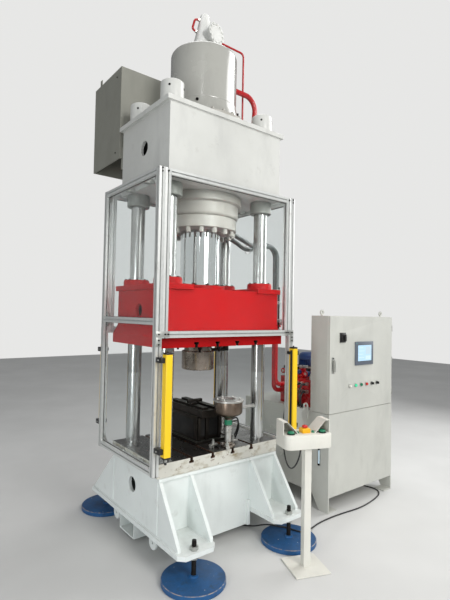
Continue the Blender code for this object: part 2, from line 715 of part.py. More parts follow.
def plate(name, outline, thickness, placing, material=None, holes=()):
    """A flat outline with its holes, thickened both ways from its plane and set by a matrix."""
    if not holes:
        bm = bmesh.new()
        face = bm.faces.new([bm.verts.new((across, up, -thickness / 2)) for across, up in outline])
        wall = bmesh.ops.extrude_face_region(bm, geom=[face])
        lid = [item for item in wall["geom"] if isinstance(item, bmesh.types.BMVert)]
        bmesh.ops.translate(bm, vec=(0, 0, thickness), verts=lid)
        item = link(name, to_mesh(name, bm), material)
        item.matrix_local = placing
        return item
    drawing = bpy.data.curves.new(name, "CURVE")
    drawing.dimensions = "2D"
    drawing.fill_mode = "BOTH"
    drawing.extrude = thickness / 2
    for loop in (outline, *holes):
        spline = drawing.splines.new("POLY")
        spline.points.add(len(loop) - 1)
        spline.use_cyclic_u = True
        for point, (across, up) in zip(spline.points, loop):
            point.co = (across, up, 0, 1)
    return from_curve(name, drawing, placing, material)


def from_curve(name, drawing, placing, material):
    """Make a curve a closed mesh with welded caps and put it in the scene."""
    guide = bpy.data.objects.new(name, drawing)
    scene.collection.objects.link(guide)
    graph = bpy.context.evaluated_depsgraph_get()
    mesh = bpy.data.meshes.new_from_object(guide.evaluated_get(graph))
    bpy.data.objects.remove(guide, do_unlink=True)
    bm = bmesh.new()
    bm.from_mesh(mesh)
    bmesh.ops.remove_doubles(bm, verts=bm.verts, dist=0.00001)
    bmesh.ops.recalc_face_normals(bm, faces=bm.faces)
    bm.to_mesh(mesh)
    bm.free()
    mesh.name = name
    mesh.materials.clear()
    item = link(name, mesh, material)
    item.matrix_local = placing
    return item


def circle_points(centre, radius, count=COARSE):
    """Points round a circle in a drawing."""
    return [(centre[0] + radius * math.cos(2 * math.pi * step / count),
             centre[1] + radius * math.sin(2 * math.pi * step / count)) for step in range(count)]


def smooth_route(points, spacing):
    """Points along the smooth curve through a route's own points, about one spacing apart."""
    route = [Vector(point) for point in points]
    ends = [2 * route[0] - route[1], *route, 2 * route[-1] - route[-2]]
    result = [route[0]]
    for before, start, end, after in zip(ends, ends[1:], ends[2:], ends[3:]):
        steps = max(1, round((end - start).length / spacing))
        for step in range(1, steps + 1):
            share = step / steps
            result.append(0.5 * (2 * start + (end - before) * share
                                 + (2 * before - 5 * start + 4 * end - after) * share ** 2
                                 + (3 * start - before - 3 * end + after) * share ** 3))
    return result


def tube(name, points, radius, material, sides_level=2):
    """A round tube along a run of points."""
    drawing = bpy.data.curves.new(name, "CURVE")
    drawing.dimensions = "3D"
    drawing.bevel_depth = radius
    drawing.bevel_resolution = sides_level
    drawing.use_fill_caps = True
    spline = drawing.splines.new("POLY")
    spline.points.add(len(points) - 1)
    for point, place in zip(spline.points, points):
        point.co = (*place, 1)
    return from_curve(name, drawing, Matrix.Identity(4), material)


def bent_route(corners, bend):
    """A route of straight runs with a round bend of one radius at each inner corner."""
    corners = [Vector(corner) for corner in corners]
    route = [corners[0]]
    for before, corner, after in zip(corners, corners[1:], corners[2:]):
        back = (before - corner).normalized()
        ahead = (after - corner).normalized()
        half = back.angle(ahead) / 2
        reach = bend / math.tan(half)
        hub = corner + (back + ahead).normalized() * bend / math.sin(half)
        start = corner + back * reach - hub
        end = corner + ahead * reach - hub
        turn = start.rotation_difference(end)
        for step in range(BEND_STEPS + 1):
            share = step / BEND_STEPS
            route.append(hub + turn.slerp(turn.inverted() @ turn, 1 - share) @ start)
    route.append(corners[-1])
    return route


def cut(target, *tools):
    """Take tools out of a piece."""
    return combine(target, tools, "DIFFERENCE")


def join(target, *tools):
    """Weld tools on to a piece."""
    return combine(target, tools, "UNION")


def combine(target, tools, operation):
    for tool in tools:
        step = target.modifiers.new(tool.name, "BOOLEAN")
        step.operation = operation
        step.object = tool
        step.solver = "EXACT"
    return target


# Drawing planes: across and up in the drawing, and where the thickness points
FACING_FRONT = Matrix.Rotation(math.pi / 2, 4, "X")                      # across is X, up is Z
FACING_SIDE = Matrix.Rotation(math.pi / 2, 4, "Z") @ FACING_FRONT        # across is Y, up is Z


def at(x, y, z):
    return Matrix.Translation((x, y, z))


# Bed, feet and levelling mounts

def build_bed():
    half_width, half_depth = BED_WIDTH / 2, BED_DEPTH / 2
    bed = block("bed", (-half_width, -half_depth, BED_BOTTOM), (half_width, half_depth, BED_DECK + WELD),
                white_paint)
    belly_half = FOOT_INNER - SEAT
    belly = block("bed_belly", (-belly_half, -half_depth, BELLY_BOTTOM),
                  (belly_half, half_depth, BED_BOTTOM + WELD))
    flange = block("bed_flange", (-half_width, -half_depth - BED_FLANGE_REACH, BED_DECK),
                   (half_width, half_depth + BED_FLANGE_REACH, BED_TOP))
    join(bed, belly, flange)
    for side in SIDES:
        bar_x = side * (belly_half - CORNER_BAR_WIDTH / 2)
        join(bed, block("bed_corner_bar", (bar_x - CORNER_BAR_WIDTH / 2, -half_depth - CORNER_BAR_DEPTH,
                                           BELLY_BOTTOM),
                        (bar_x + CORNER_BAR_WIDTH / 2, -half_depth + WELD, CORNER_BAR_TOP)))
    end_x, end_y = FLOOR_CABLE[-1][:2]
    gland_length = BELLY_BOTTOM - FLOOR_CABLE[-1][2] - SEAT - WELD / 4
    join(bed, drum("bed_cable_gland", (end_x, end_y, BELLY_BOTTOM - gland_length / 2 + WELD / 2),
                   CABLE_GLAND_RADIUS, gland_length + WELD, sides=8))
    inside = block("bed_inside", (BED_WALL - half_width, BED_WALL - half_depth, BED_BOTTOM + BED_WALL),
                   (half_width - BED_WALL, half_depth - BED_WALL, BED_DECK - BED_WALL))
    opening = block("bed_opening", (-BELLY_OPENING / 2, -BELLY_OPENING / 2, BELLY_BOTTOM - OVERRUN),
                    (BELLY_OPENING / 2, BELLY_OPENING / 2, BED_BOTTOM + BED_WALL + OVERRUN))
    side_hole = drum("bed_side_hole", (0, BED_HOLE_Y, BED_HOLE_Z), BAR_HOLE_RADIUS,
                     BED_WIDTH + 2 * OVERRUN, axis="X")
    cut(bed, inside, opening, side_hole, *column_bores("bed", BED_DECK - BED_WALL - OVERRUN,
                                                       BED_TOP + OVERRUN))
    return bed


def column_bores(owner, bottom, top):
    """Four cutters for the columns' running holes."""
    middle, length = (bottom + top) / 2, top - bottom
    return [drum(f"{owner}_bore_{corner}", (x, y, middle), COLUMN_RADIUS + RUN, length)
            for corner, (x, y) in COLUMN_PLACES.items()]


def build_foot_frame(side, name):
    """Foot plate of one side with its four gusset ribs, lugs and lifting pocket."""
    inner, outer = FOOT_INNER, FOOT_OUTER
    outline = [(inner, -FOOT_FRONT + FOOT_CORNER), (inner + FOOT_CORNER, -FOOT_FRONT),
               (outer - FOOT_CORNER, -FOOT_FRONT), (outer, -FOOT_FRONT + FOOT_CORNER),
               (outer, FOOT_BACK - FOOT_CORNER), (outer - FOOT_CORNER, FOOT_BACK),
               (inner + FOOT_CORNER, FOOT_BACK), (inner, FOOT_BACK - FOOT_CORNER)]
    if side < 0:
        outline = [(-across, up) for across, up in outline]
    stud_holes = [circle_points((side * STUD_X, y), STUD_RADIUS + 2 * RUN, ROUND)
                  for y in (STUD_FRONT_Y, STUD_BACK_Y)]
    foot = plate(name, outline, FOOT_THICKNESS, at(0, 0, FOOT_BOTTOM + FOOT_THICKNESS / 2), white_paint,
                 stud_holes)
    face = BED_DEPTH / 2 + SEAT
    rib_top = BED_DECK - SEAT
    for front, tip in ((-1, FOOT_FRONT - RIB_SETBACK), (1, FOOT_BACK - RIB_SETBACK)):
        rib = [(front * face, FOOT_TOP - WELD), (front * tip, FOOT_TOP - WELD),
               (front * tip, FOOT_TOP + RIB_NOSE), (front * (face + RIB_NOSE), rib_top),
               (front * face, rib_top)]
        for place in (BED_WIDTH / 2 - RIB_THICKNESS / 2, inner + RIB_THICKNESS / 2):
            join(foot, plate(f"{name}_rib", rib, RIB_THICKNESS, at(side * place, 0, 0) @ FACING_SIDE))
    lug_half = LUG_WIDTH / 2
    for lug_y in LUG_Y:
        lug = [(lug_y - lug_half, FOOT_BOTTOM + WELD), (lug_y - lug_half, FOOT_BOTTOM - LUG_DROP + lug_half)]
        lug += [(lug_y - lug_half * math.cos(turn), FOOT_BOTTOM - LUG_DROP + lug_half * (1 - math.sin(turn)))
                for turn in (math.pi * step / COARSE for step in range(1, COARSE))]
        lug += [(lug_y + lug_half, FOOT_BOTTOM - LUG_DROP + lug_half), (lug_y + lug_half, FOOT_BOTTOM + WELD)]
        eye = circle_points((lug_y, FOOT_BOTTOM - LUG_DROP + lug_half), LUG_HOLE_RADIUS)
        join(foot, plate(f"{name}_lug", lug, LUG_THICKNESS,
                         at(side * (outer - LUG_INSET), 0, 0) @ FACING_SIDE, None, (eye,)))
    pocket_outer = outer - POCKET_INSET
    low, high = sorted((side * inner, side * pocket_outer))
    half = POCKET_WIDTH / 2
    pocket = block(f"{name}_pocket", (low, POCKET_Y - half, FOOT_BOTTOM - POCKET_HEIGHT),
                   (high, POCKET_Y + half, FOOT_BOTTOM + WELD))
    mouth = block(f"{name}_pocket_mouth",
                  (low - OVERRUN, POCKET_Y - half + POCKET_WALL, FOOT_BOTTOM - POCKET_HEIGHT + POCKET_WALL),
                  (high + OVERRUN, POCKET_Y + half - POCKET_WALL, FOOT_BOTTOM - POCKET_WALL))
    cut(pocket, mouth)
    return join(foot, pocket)


def build_levelling_mount(name, x, y):
    """Round pad, threaded stud and its two lock nuts."""
    centre = (x, y, 0)
    mount = turned(name, [
        (0, STUD_TOP), (STUD_RADIUS, STUD_TOP), (STUD_RADIUS, PAD_HEIGHT + SOCKET_HEIGHT),
        (SOCKET_RADIUS, PAD_HEIGHT + SOCKET_HEIGHT), (SOCKET_RADIUS, PAD_HEIGHT),
        (PAD_RADIUS - PAD_EDGE, PAD_HEIGHT), (PAD_RADIUS, PAD_HEIGHT - PAD_EDGE), (PAD_RADIUS, 0), (0, 0),
    ], centre, pad_blue)
    upper = drum(f"{name}_upper_nut", (x, y, FOOT_TOP + SEAT + STUD_NUT_HEIGHT / 2), STUD_NUT_RADIUS,
                 STUD_NUT_HEIGHT, sides=6)
    lower = drum(f"{name}_lower_nut", (x, y, FOOT_BOTTOM - SEAT - STUD_NUT_HEIGHT / 2), STUD_NUT_RADIUS,
                 STUD_NUT_HEIGHT, sides=6)
    return join(mount, upper, lower)


# Bolster, columns and slide

def slot_cutters(owner, depth, mouth_z, inward):
    """T-slot cutters along Y; inward is the Z direction from the mouth into the metal."""
    cutters_made = []
    neck, head = SLOT_NECK / 2, SLOT_HEAD / 2
    floor = mouth_z + inward * SLOT_DEPTH
    shoulder = floor - inward * SLOT_HEAD_HEIGHT
    outside = mouth_z - inward * OVERRUN
    for index in range(SLOT_COUNT):
        x = (index - (SLOT_COUNT - 1) / 2) * SLOT_PITCH
        outline = [(x - neck, outside), (x - neck, shoulder), (x - head, shoulder), (x - head, floor),
                   (x + head, floor), (x + head, shoulder), (x + neck, shoulder), (x + neck, outside)]
        cutters_made.append(plate(f"{owner}_slot_{index}", outline, depth + 2 * OVERRUN, FACING_FRONT))
    return cutters_made


def build_bolster():
    half_width, half_depth = BOLSTER_WIDTH / 2, BOLSTER_DEPTH / 2
    bolster = block("bolster", (-half_width, -half_depth, BOLSTER_BOTTOM),
                    (half_width, half_depth, BOLSTER_TOP), machined_steel)
    cut(bolster, *slot_cutters("bolster", BOLSTER_DEPTH, BOLSTER_TOP, -1),
        *column_bores("bolster", BOLSTER_BOTTOM - OVERRUN, BOLSTER_TOP + OVERRUN))
    lift_z = (BOLSTER_BOTTOM + BOLSTER_TOP) / 2
    for side in SIDES:
        for y in (-LIFT_HOLE_Y, LIFT_HOLE_Y):
            cut(bolster, drum("bolster_lift_hole", (side * half_width, y, lift_z), LIFT_HOLE_RADIUS,
                              2 * LIFT_HOLE_DEPTH, axis="X", sides=COARSE))
    return bolster


def build_column(corner, x, y):
    """Column with its foot nut, its collar under the crown and its nut on top of it."""
    foot_nut_top = BED_DECK - BED_WALL - SEAT
    collar_top = CROWN_BOTTOM - SEAT
    nut_bottom = CROWN_TOP + SEAT
    nut_top = nut_bottom + CROWN_NUT_HEIGHT
    column = turned(f"column_{corner}", [
        (0, nut_top), (NUT_RADIUS - NUT_CHAMFER, nut_top), (NUT_RADIUS, nut_top - NUT_CHAMFER),
        (NUT_RADIUS, nut_bottom), (COLUMN_RADIUS, nut_bottom),
        (COLUMN_RADIUS, collar_top), (COLLAR_RADIUS, collar_top),
        (COLLAR_RADIUS, collar_top - COLLAR_HEIGHT), (COLUMN_RADIUS, collar_top - COLLAR_HEIGHT),
        (COLUMN_RADIUS, foot_nut_top), (FOOT_NUT_RADIUS, foot_nut_top),
        (FOOT_NUT_RADIUS, foot_nut_top - FOOT_NUT_HEIGHT), (COLUMN_RADIUS, foot_nut_top - FOOT_NUT_HEIGHT),
        (COLUMN_RADIUS, COLUMN_FOOT_Z), (0, COLUMN_FOOT_Z),
    ], (x, y, 0), column_steel)
    hole_z = nut_top - SPANNER_HOLE_DROP
    for index in range(SPANNER_HOLES):
        turn = 2 * math.pi * (index + 0.5) / SPANNER_HOLES
        hole = drum(f"spanner_hole_{corner}", (x + NUT_RADIUS * math.cos(turn), y + NUT_RADIUS * math.sin(turn),
                                               hole_z), SPANNER_HOLE_RADIUS, 2 * SPANNER_HOLE_DEPTH,
                    axis="X", sides=8)
        hole.rotation_euler.z = turn
        cut(column, hole)
    return column


def build_slide():
    """Moving platen: slotted bottom plate that tapers into a hollow body with lipped guide lids."""
    plate_top = SLIDE_BOTTOM + SLIDE_PLATE_HEIGHT
    bm = bmesh.new()
    bmesh.ops.create_cube(bm, size=1)
    bmesh.ops.scale(bm, vec=(SLIDE_PLATE_WIDTH, SLIDE_PLATE_DEPTH, SLIDE_PLATE_HEIGHT), verts=bm.verts)
    lid = [face for face in bm.faces if face.normal.z > 0.5]
    for rise, width, depth in ((SLIDE_TAPER, SLIDE_WIDTH, SLIDE_DEPTH),
                               (SLIDE_SHOULDER - plate_top - SLIDE_TAPER, SLIDE_WIDTH, SLIDE_DEPTH)):
        wall = bmesh.ops.extrude_face_region(bm, geom=lid)
        verts = [item for item in wall["geom"] if isinstance(item, bmesh.types.BMVert)]
        bmesh.ops.delete(bm, geom=lid, context="FACES_ONLY")
        lid = [item for item in wall["geom"] if isinstance(item, bmesh.types.BMFace)]
        span = max(vert.co.x for vert in verts) * 2
        reach = max(vert.co.y for vert in verts) * 2
        bmesh.ops.scale(bm, vec=(width / span, depth / reach, 1), verts=verts)
        bmesh.ops.translate(bm, vec=(0, 0, rise), verts=verts)
    slide = link("slide", to_mesh("slide", bm), red_paint)
    slide.location = (0, 0, SLIDE_BOTTOM + SLIDE_PLATE_HEIGHT / 2)

    lip_x, lip_y = SLIDE_WIDTH / 2 + LIP_REACH, SLIDE_DEPTH / 2 + LIP_REACH
    lip_top = SLIDE_SHOULDER + LIP_HEIGHT
    for side in SIDES:
        low, high = sorted((side * LIP_INNER, side * lip_x))
        join(slide, block("slide_lip", (low, -lip_y, SLIDE_SHOULDER - WELD), (high, lip_y, lip_top)))
    join(slide, block("slide_middle", (-LIP_INNER - WELD, -SLIDE_DEPTH / 2, SLIDE_SHOULDER - WELD),
                      (LIP_INNER + WELD, SLIDE_DEPTH / 2, SLIDE_MIDDLE_TOP)))
    for corner, (x, y) in COLUMN_PLACES.items():
        join(slide, drum(f"slide_bush_{corner}", (x, y, lip_top + BUSH_HEIGHT / 2 - WELD), BUSH_RADIUS,
                         BUSH_HEIGHT + 2 * WELD))
    inside = block("slide_inside", (SLIDE_WALL - SLIDE_WIDTH / 2, SLIDE_WALL - SLIDE_DEPTH / 2,
                                    plate_top + SLIDE_WALL),
                   (SLIDE_WIDTH / 2 - SLIDE_WALL, SLIDE_DEPTH / 2 - SLIDE_WALL, SLIDE_SHOULDER - SLIDE_WALL))
    side_hole = drum("slide_side_hole", (-SLIDE_WIDTH / 2, 0, SLIDE_HOLE_Z), SLIDE_HOLE_RADIUS,
                     2 * (SLIDE_WALL + OVERRUN), axis="X", sides=ROUND)
    cut(slide, inside, side_hole, *slot_cutters("slide", SLIDE_PLATE_DEPTH, SLIDE_BOTTOM, 1),
        *column_bores("slide", SLIDE_BOTTOM - OVERRUN, lip_top + BUSH_HEIGHT + OVERRUN))
    return slide


# Crown, main cylinder and ram

def build_crown():
    half_width, half_depth = CROWN_WIDTH / 2, CROWN_DEPTH / 2
    box_top = CROWN_TOP - CROWN_PLATE
    crown = block("crown", (-half_width, -half_depth, CROWN_BOTTOM), (half_width, half_depth, box_top + WELD),
                  grey_paint)
    lid_x, lid_y = half_width + CROWN_OVERHANG_X, half_depth + CROWN_OVERHANG_Y
    join(crown, block("crown_plate", (-lid_x, -lid_y, box_top), (lid_x, lid_y, CROWN_TOP)))
    inside = block("crown_inside", (CROWN_WALL - half_width, CROWN_WALL - half_depth,
                                    CROWN_BOTTOM + CROWN_WALL),
                   (half_width - CROWN_WALL, half_depth - CROWN_WALL, box_top - CROWN_WALL))
    side_hole = drum("crown_side_hole", (0, CROWN_HOLE_Y, CROWN_HOLE_Z), BAR_HOLE_RADIUS,
                     CROWN_WIDTH + 2 * OVERRUN, axis="X")
    middle = (CROWN_BOTTOM + CROWN_TOP) / 2
    span = CROWN_TOP - CROWN_BOTTOM + 2 * OVERRUN
    cylinder_bore = drum("crown_cylinder_bore", (0, 0, middle), BARREL_RADIUS + RUN, span, sides=FINE)
    return cut(crown, inside, side_hole, cylinder_bore,
               *column_bores("crown", CROWN_BOTTOM - OVERRUN, CROWN_TOP + OVERRUN))


def build_main_cylinder():
    """Barrel through the crown, with its bolted flange on top and its stepped body below."""
    flange_bottom = CROWN_TOP + SEAT
    flange_top = flange_bottom + FLANGE_HEIGHT
    cylinder = turned("main_cylinder", [
        (BARREL_BORE, flange_top), (FLANGE_RADIUS, flange_top), (FLANGE_RADIUS, flange_bottom),
        (BARREL_RADIUS, flange_bottom), (BARREL_RADIUS, CROWN_BOTTOM - SEAT),
        (COLLAR_RING_RADIUS, CROWN_BOTTOM - SEAT), (COLLAR_RING_RADIUS, BODY_TOP),
        (BODY_RADIUS, BODY_TOP), (BODY_RADIUS, BODY_BOTTOM + BODY_EDGE),
        (BODY_RADIUS - BODY_EDGE, BODY_BOTTOM), (BARREL_BORE, BODY_BOTTOM),
    ], (0, 0, 0), grey_paint, FINE)
    heads_z = flange_top + FLANGE_BOLT_HEIGHT / 2 - WELD
    join(cylinder, bolt_ring("flange_bolts", (0, 0, heads_z), FLANGE_BOLT_CIRCLE, FLANGE_BOLTS,
                             FLANGE_BOLT_RADIUS, FLANGE_BOLT_HEIGHT))
    return cylinder


def build_gland():
    gland_top = BODY_BOTTOM - SEAT
    gland = turned("gland_ring", [
        (RAM_RADIUS + RUN, gland_top), (GLAND_RADIUS, gland_top), (GLAND_RADIUS, GLAND_BOTTOM),
        (RAM_RADIUS + RUN, GLAND_BOTTOM),
    ], (0, 0, 0), grey_paint, FINE)
    join(gland, bolt_ring("gland_bolts", (0, 0, GLAND_BOTTOM - GLAND_BOLT_HEIGHT / 2 + WELD),
                          GLAND_BOLT_CIRCLE, GLAND_BOLTS, GLAND_BOLT_RADIUS, GLAND_BOLT_HEIGHT, sides=8))
    port_x = math.sqrt(GLAND_RADIUS ** 2 - (LINES["return_line"]["port_y"] + PORT_RADIUS) ** 2)
    for route in LINES.values():
        join(gland, drum("gland_port", (port_x, route["port_y"], route["port_z"]), PORT_RADIUS,
                         2 * (GLAND_RADIUS + PORT_REACH - port_x), axis="X", sides=COARSE))
    return gland


def build_ram():
    """Chromed ram with its piston in the barrel and its flange on the slide."""
    foot = SLIDE_MIDDLE_TOP + SEAT
    profile = [
        (0, RAM_TOP), (PISTON_RADIUS, RAM_TOP), (PISTON_RADIUS, RAM_TOP - PISTON_HEIGHT),
        (RAM_RADIUS, RAM_TOP - PISTON_HEIGHT), (RAM_RADIUS, foot + RAM_FLANGE_HEIGHT),
        (RAM_FLANGE_RADIUS, foot + RAM_FLANGE_HEIGHT), (RAM_FLANGE_RADIUS, foot), (0, foot),
    ]
    return turned("ram", profile, (0, 0, 0), ram_chrome, FINE)


# Prefill tank, valve and pipes

def dome_profile(radius, base, crest, steps=6):
    """Quarter of an ellipse from the crest down to the shoulder."""
    return [(radius * math.sin(math.pi / 2 * step / steps), base + (crest - base)
             * math.cos(math.pi / 2 * step / steps)) for step in range(steps + 1)]


def build_prefill_tank():
    """Open-bottomed vessel with a dished head, standing on the cylinder's flange inside its bolts."""
    base = CROWN_TOP + SEAT + FLANGE_HEIGHT + SEAT
    skirt_top = base + SKIRT_HEIGHT
    outside = dome_profile(TANK_RADIUS, TANK_SHOULDER, TANK_HEAD)
    outside += [(TANK_RADIUS, skirt_top), (SKIRT_RADIUS, base)]
    inside = [(SKIRT_RADIUS - TANK_WALL, base), (TANK_RADIUS - TANK_WALL, skirt_top)]
    inside += reversed(dome_profile(TANK_RADIUS - TANK_WALL, TANK_SHOULDER, TANK_HEAD - TANK_WALL))
    return turned("prefill_tank", outside + inside, (0, 0, 0), grey_paint, FINE)


def dome_height(radius):
    """Height of the tank's head at a distance from its axis."""
    return TANK_SHOULDER + (TANK_HEAD - TANK_SHOULDER) * math.sqrt(1 - (radius / TANK_RADIUS) ** 2)


def build_prefill_valve():
    """Upright conical housing with a bolted cover on its front."""
    base = TANK_HEAD + SEAT
    valve = turned("prefill_valve", [
        (0, VALVE_TOP), (VALVE_TOP_RADIUS, VALVE_TOP), (VALVE_TOP_RADIUS + VALVE_BASE_HEIGHT,
                                                        VALVE_TOP - VALVE_BASE_HEIGHT),
        (VALVE_NECK_RADIUS, base + VALVE_BASE_HEIGHT), (VALVE_BASE_RADIUS, base + VALVE_BASE_HEIGHT),
        (VALVE_BASE_RADIUS, base), (0, base),
    ], (0, 0, 0), grey_paint)
    neck_length = -COVER_Y
    neck = drum("valve_neck", (0, COVER_Y + neck_length / 2, COVER_Z), VALVE_NECK_RADIUS - VALVE_BASE_HEIGHT,
                neck_length, axis="Y")
    cover = drum("valve_cover", (0, COVER_Y - COVER_THICKNESS / 2 + WELD, COVER_Z), COVER_RADIUS,
                 COVER_THICKNESS, axis="Y")
    cover.scale = (COVER_FIT, 1, COVER_FIT)
    heads = bolt_ring("valve_cover_bolts", (0, COVER_Y - COVER_THICKNESS, COVER_Z),
                      COVER_BOLT_CIRCLE * COVER_FIT, COVER_BOLTS, COVER_BOLT_RADIUS, 2 * COVER_BOLT_HEIGHT,
                      axis="Y")
    return join(valve, neck, cover, heads)


# The cover clears the tank's head, which rises towards the valve
COVER_FIT = min(1.0, (COVER_Z - TANK_HEAD - 2 * SEAT) / COVER_RADIUS)


def build_pilot_pipe():
    start = VALVE_NECK_RADIUS
    route = bent_route([(start, 0, PILOT_Z), (PILOT_X, 0, PILOT_Z), (PILOT_X, 0, CROWN_TOP + SEAT)],
                       4 * PILOT_RADIUS)
    return tube("pilot_pipe", route, PILOT_RADIUS, pipe_red)


def build_fill_pipe():
    start = math.sqrt(TANK_RADIUS ** 2 - (abs(FILL_Y) - FILL_RADIUS) ** 2) + SEAT
    route = bent_route([(start, FILL_Y, FILL_Z), (FILL_X, FILL_Y, FILL_Z),
                        (FILL_FOOT_X, FILL_Y, CROWN_TOP + SEAT + FILL_RADIUS * (FILL_X - FILL_FOOT_X)
                         / (FILL_Z - CROWN_TOP))], 5 * FILL_RADIUS)
    return tube("fill_pipe", route, FILL_RADIUS, pipe_red, 4)


def build_service_box():
    """Sheet box behind the crown, open below, carried on two brackets."""
    half = SERVICE_WIDTH / 2
    box = block("service_box", (-half, SERVICE_FRONT, SERVICE_BOTTOM), (half, SERVICE_BACK, SERVICE_TOP),
                grey_paint)
    cut(box, block("service_inside", (SERVICE_WALL - half, SERVICE_FRONT + SERVICE_WALL,
                                      SERVICE_BOTTOM - OVERRUN),
                   (half - SERVICE_WALL, SERVICE_BACK - SERVICE_WALL, SERVICE_TOP - SERVICE_WALL)))
    crown_back = CROWN_DEPTH / 2 + SEAT
    for side in SIDES:
        outer = CROWN_WIDTH / 2
        low, high = sorted((side * outer, side * (outer - SERVICE_BRACKET_WIDTH)))
        join(box, block("service_bracket", (low, crown_back, SERVICE_BOTTOM - SERVICE_BRACKET_DROP),
                        (high, SERVICE_FRONT + SERVICE_WALL, SERVICE_BOTTOM + SERVICE_BRACKET_DROP)))
    return box


# Guard of grooved bars and clear panes

def bar_outline(half):
    """Square bar section with a groove in the middle of each face."""
    lip, deep = GROOVE / 2 + BAR / 2 - half, half - GROOVE_DEPTH
    quarter = [(half, -lip), (deep, -lip), (deep, lip), (half, lip), (half, half)]
    outline = []
    for turn in range(4):
        for across, up in quarter:
            for _ in range(turn):
                across, up = -up, across
            outline.append((across, up))
    return outline


def bar(name, start, end, material=None):
    """A grooved bar between two points on its centre line; one that is welded on is a little slimmer."""
    start, end = Vector(start), Vector(end)
    run = end - start
    heading = Vector((0, 0, 1)).rotation_difference(run.normalized()).to_matrix().to_4x4()
    half = BAR / 2 if material else BAR / 2 - RAIL_STEP
    return plate(name, bar_outline(half), run.length, at(*((start + end) / 2)) @ heading, material)


def build_side_guard(side, name):
    """Two posts with three rails between them, and the stays that hold them to bed and crown."""
    x = side * POST_X
    reach = POST_Y - BAR / 2 + WELD
    guard = bar(name, (x, -POST_Y, GUARD_BOTTOM), (x, -POST_Y, GUARD_TOP), anodised)
    join(guard, bar(f"{name}_rear_post", (x, POST_Y, GUARD_BOTTOM), (x, POST_Y, GUARD_TOP)))
    for z in (GUARD_BOTTOM + BAR / 2, SIDE_RAIL_Z, GUARD_TOP - BAR / 2):
        join(guard, bar(f"{name}_rail", (x, -reach, z), (x, reach, z)))
    inner = POST_X - BAR / 2 + WELD
    for z, carrier in ((GUARD_BOTTOM + STAY_HEIGHT / 2 + WELD, BOLSTER_WIDTH / 2),
                       (GUARD_TOP - BAR + STAY_HEIGHT / 2 + WELD, CROWN_WIDTH / 2)):
        for y in (-STAY_Y, STAY_Y):
            low, high = sorted((side * (carrier + SEAT), side * inner))
            join(guard, block(f"{name}_stay", (low, y - STAY_WIDTH / 2, z - STAY_HEIGHT / 2),
                              (high, y + STAY_WIDTH / 2, z + STAY_HEIGHT / 2)))
    return guard


def build_window_frame(front, name):
    """Upper frame between the posts of the two sides."""
    y = front * POST_Y
    frame = bar(name, (-STILE_X, y, WINDOW_BOTTOM), (-STILE_X, y, GUARD_TOP), anodised)
    join(frame, bar(f"{name}_stile", (STILE_X, y, WINDOW_BOTTOM), (STILE_X, y, GUARD_TOP)))
    reach = STILE_X - BAR / 2 + WELD
    for z in (WINDOW_BOTTOM + BAR / 2, GUARD_TOP - BAR / 2):
        join(frame, bar(f"{name}_rail", (-reach, y, z), (reach, y, z)))
    return frame


def build_panes():
    """Clear panes held in the grooves of their frames."""
    grip = PANE_GRIP
    side_reach = POST_Y - BAR / 2 + grip
    tiers = {"upper": (SIDE_RAIL_Z + BAR / 2 - grip, GUARD_TOP - BAR + grip),
             "lower": (GUARD_BOTTOM + BAR - grip, SIDE_RAIL_Z - BAR / 2 + grip)}
    for side, side_name in ((-1, "left"), (1, "right")):
        for tier, (low, high) in tiers.items():
            pane = block(f"pane_{side_name}_{tier}", (side * POST_X - PANE / 2, -side_reach, low),
                         (side * POST_X + PANE / 2, side_reach, high), clear_pane)
            if side > 0 and tier == "upper":
                for route in LINES.values():
                    cut(pane, drum("pane_line_hole", (POST_X, route["port_y"], route["wall_z"]),
                                   LINE_HOLE_RADIUS, PANE + 2 * OVERRUN, axis="X", sides=COARSE))
    window_reach = STILE_X - BAR / 2 + grip
    for front, front_name in ((-1, "front"), (1, "rear")):
        block(f"pane_{front_name}", (-window_reach, front * POST_Y - PANE / 2, WINDOW_BOTTOM + BAR - grip),
              (window_reach, front * POST_Y + PANE / 2, GUARD_TOP - BAR + grip), clear_pane)


def build_light_curtain(name, side, front):
    """Slim housing with an optical window that looks at its partner, end caps and two stays."""
    x, y = side * CURTAIN_X, front * CURTAIN_Y
    half_width, half_depth = CURTAIN_WIDTH / 2, CURTAIN_DEPTH / 2
    low, high = CURTAIN_BOTTOM + CURTAIN_CAP, CURTAIN_TOP - CURTAIN_CAP
    housing = block(name, (x - half_width, y - half_depth, low), (x + half_width, y + half_depth, high),
                    curtain_yellow)
    inner_face = x - side * half_width
    window = block(f"{name}_window",
                   (inner_face - CURTAIN_WINDOW_DEPTH, y - CURTAIN_WINDOW / 2, low + CURTAIN_CAP),
                   (inner_face + CURTAIN_WINDOW_DEPTH, y + CURTAIN_WINDOW / 2, high - CURTAIN_CAP))
    cut(housing, window)
    cap = CURTAIN_CAP_INSET
    for z in (low - CURTAIN_CAP / 2, high + CURTAIN_CAP / 2):
        join(housing, block(f"{name}_cap", (x - half_width + cap, y - half_depth + cap,
                                            z - CURTAIN_CAP / 2 - WELD),
                            (x + half_width - cap, y + half_depth - cap, z + CURTAIN_CAP / 2 + WELD)))
    near = front * (GUARD_DEPTH / 2 + SEAT)
    far = y - front * (half_depth - WELD)
    for z in (CURTAIN_BOTTOM + CURTAIN_STAY_INSET, CURTAIN_TOP - CURTAIN_STAY_INSET):
        back, face = sorted((near, far))
        left, right = sorted((side * (CURTAIN_X - half_width + cap), side * (GUARD_WIDTH / 2 - cap)))
        join(housing, block(f"{name}_stay", (left, back, z - CURTAIN_STAY_HEIGHT / 2),
                            (right, face, z + CURTAIN_STAY_HEIGHT / 2)))
    return housing


# Tooling in the die space

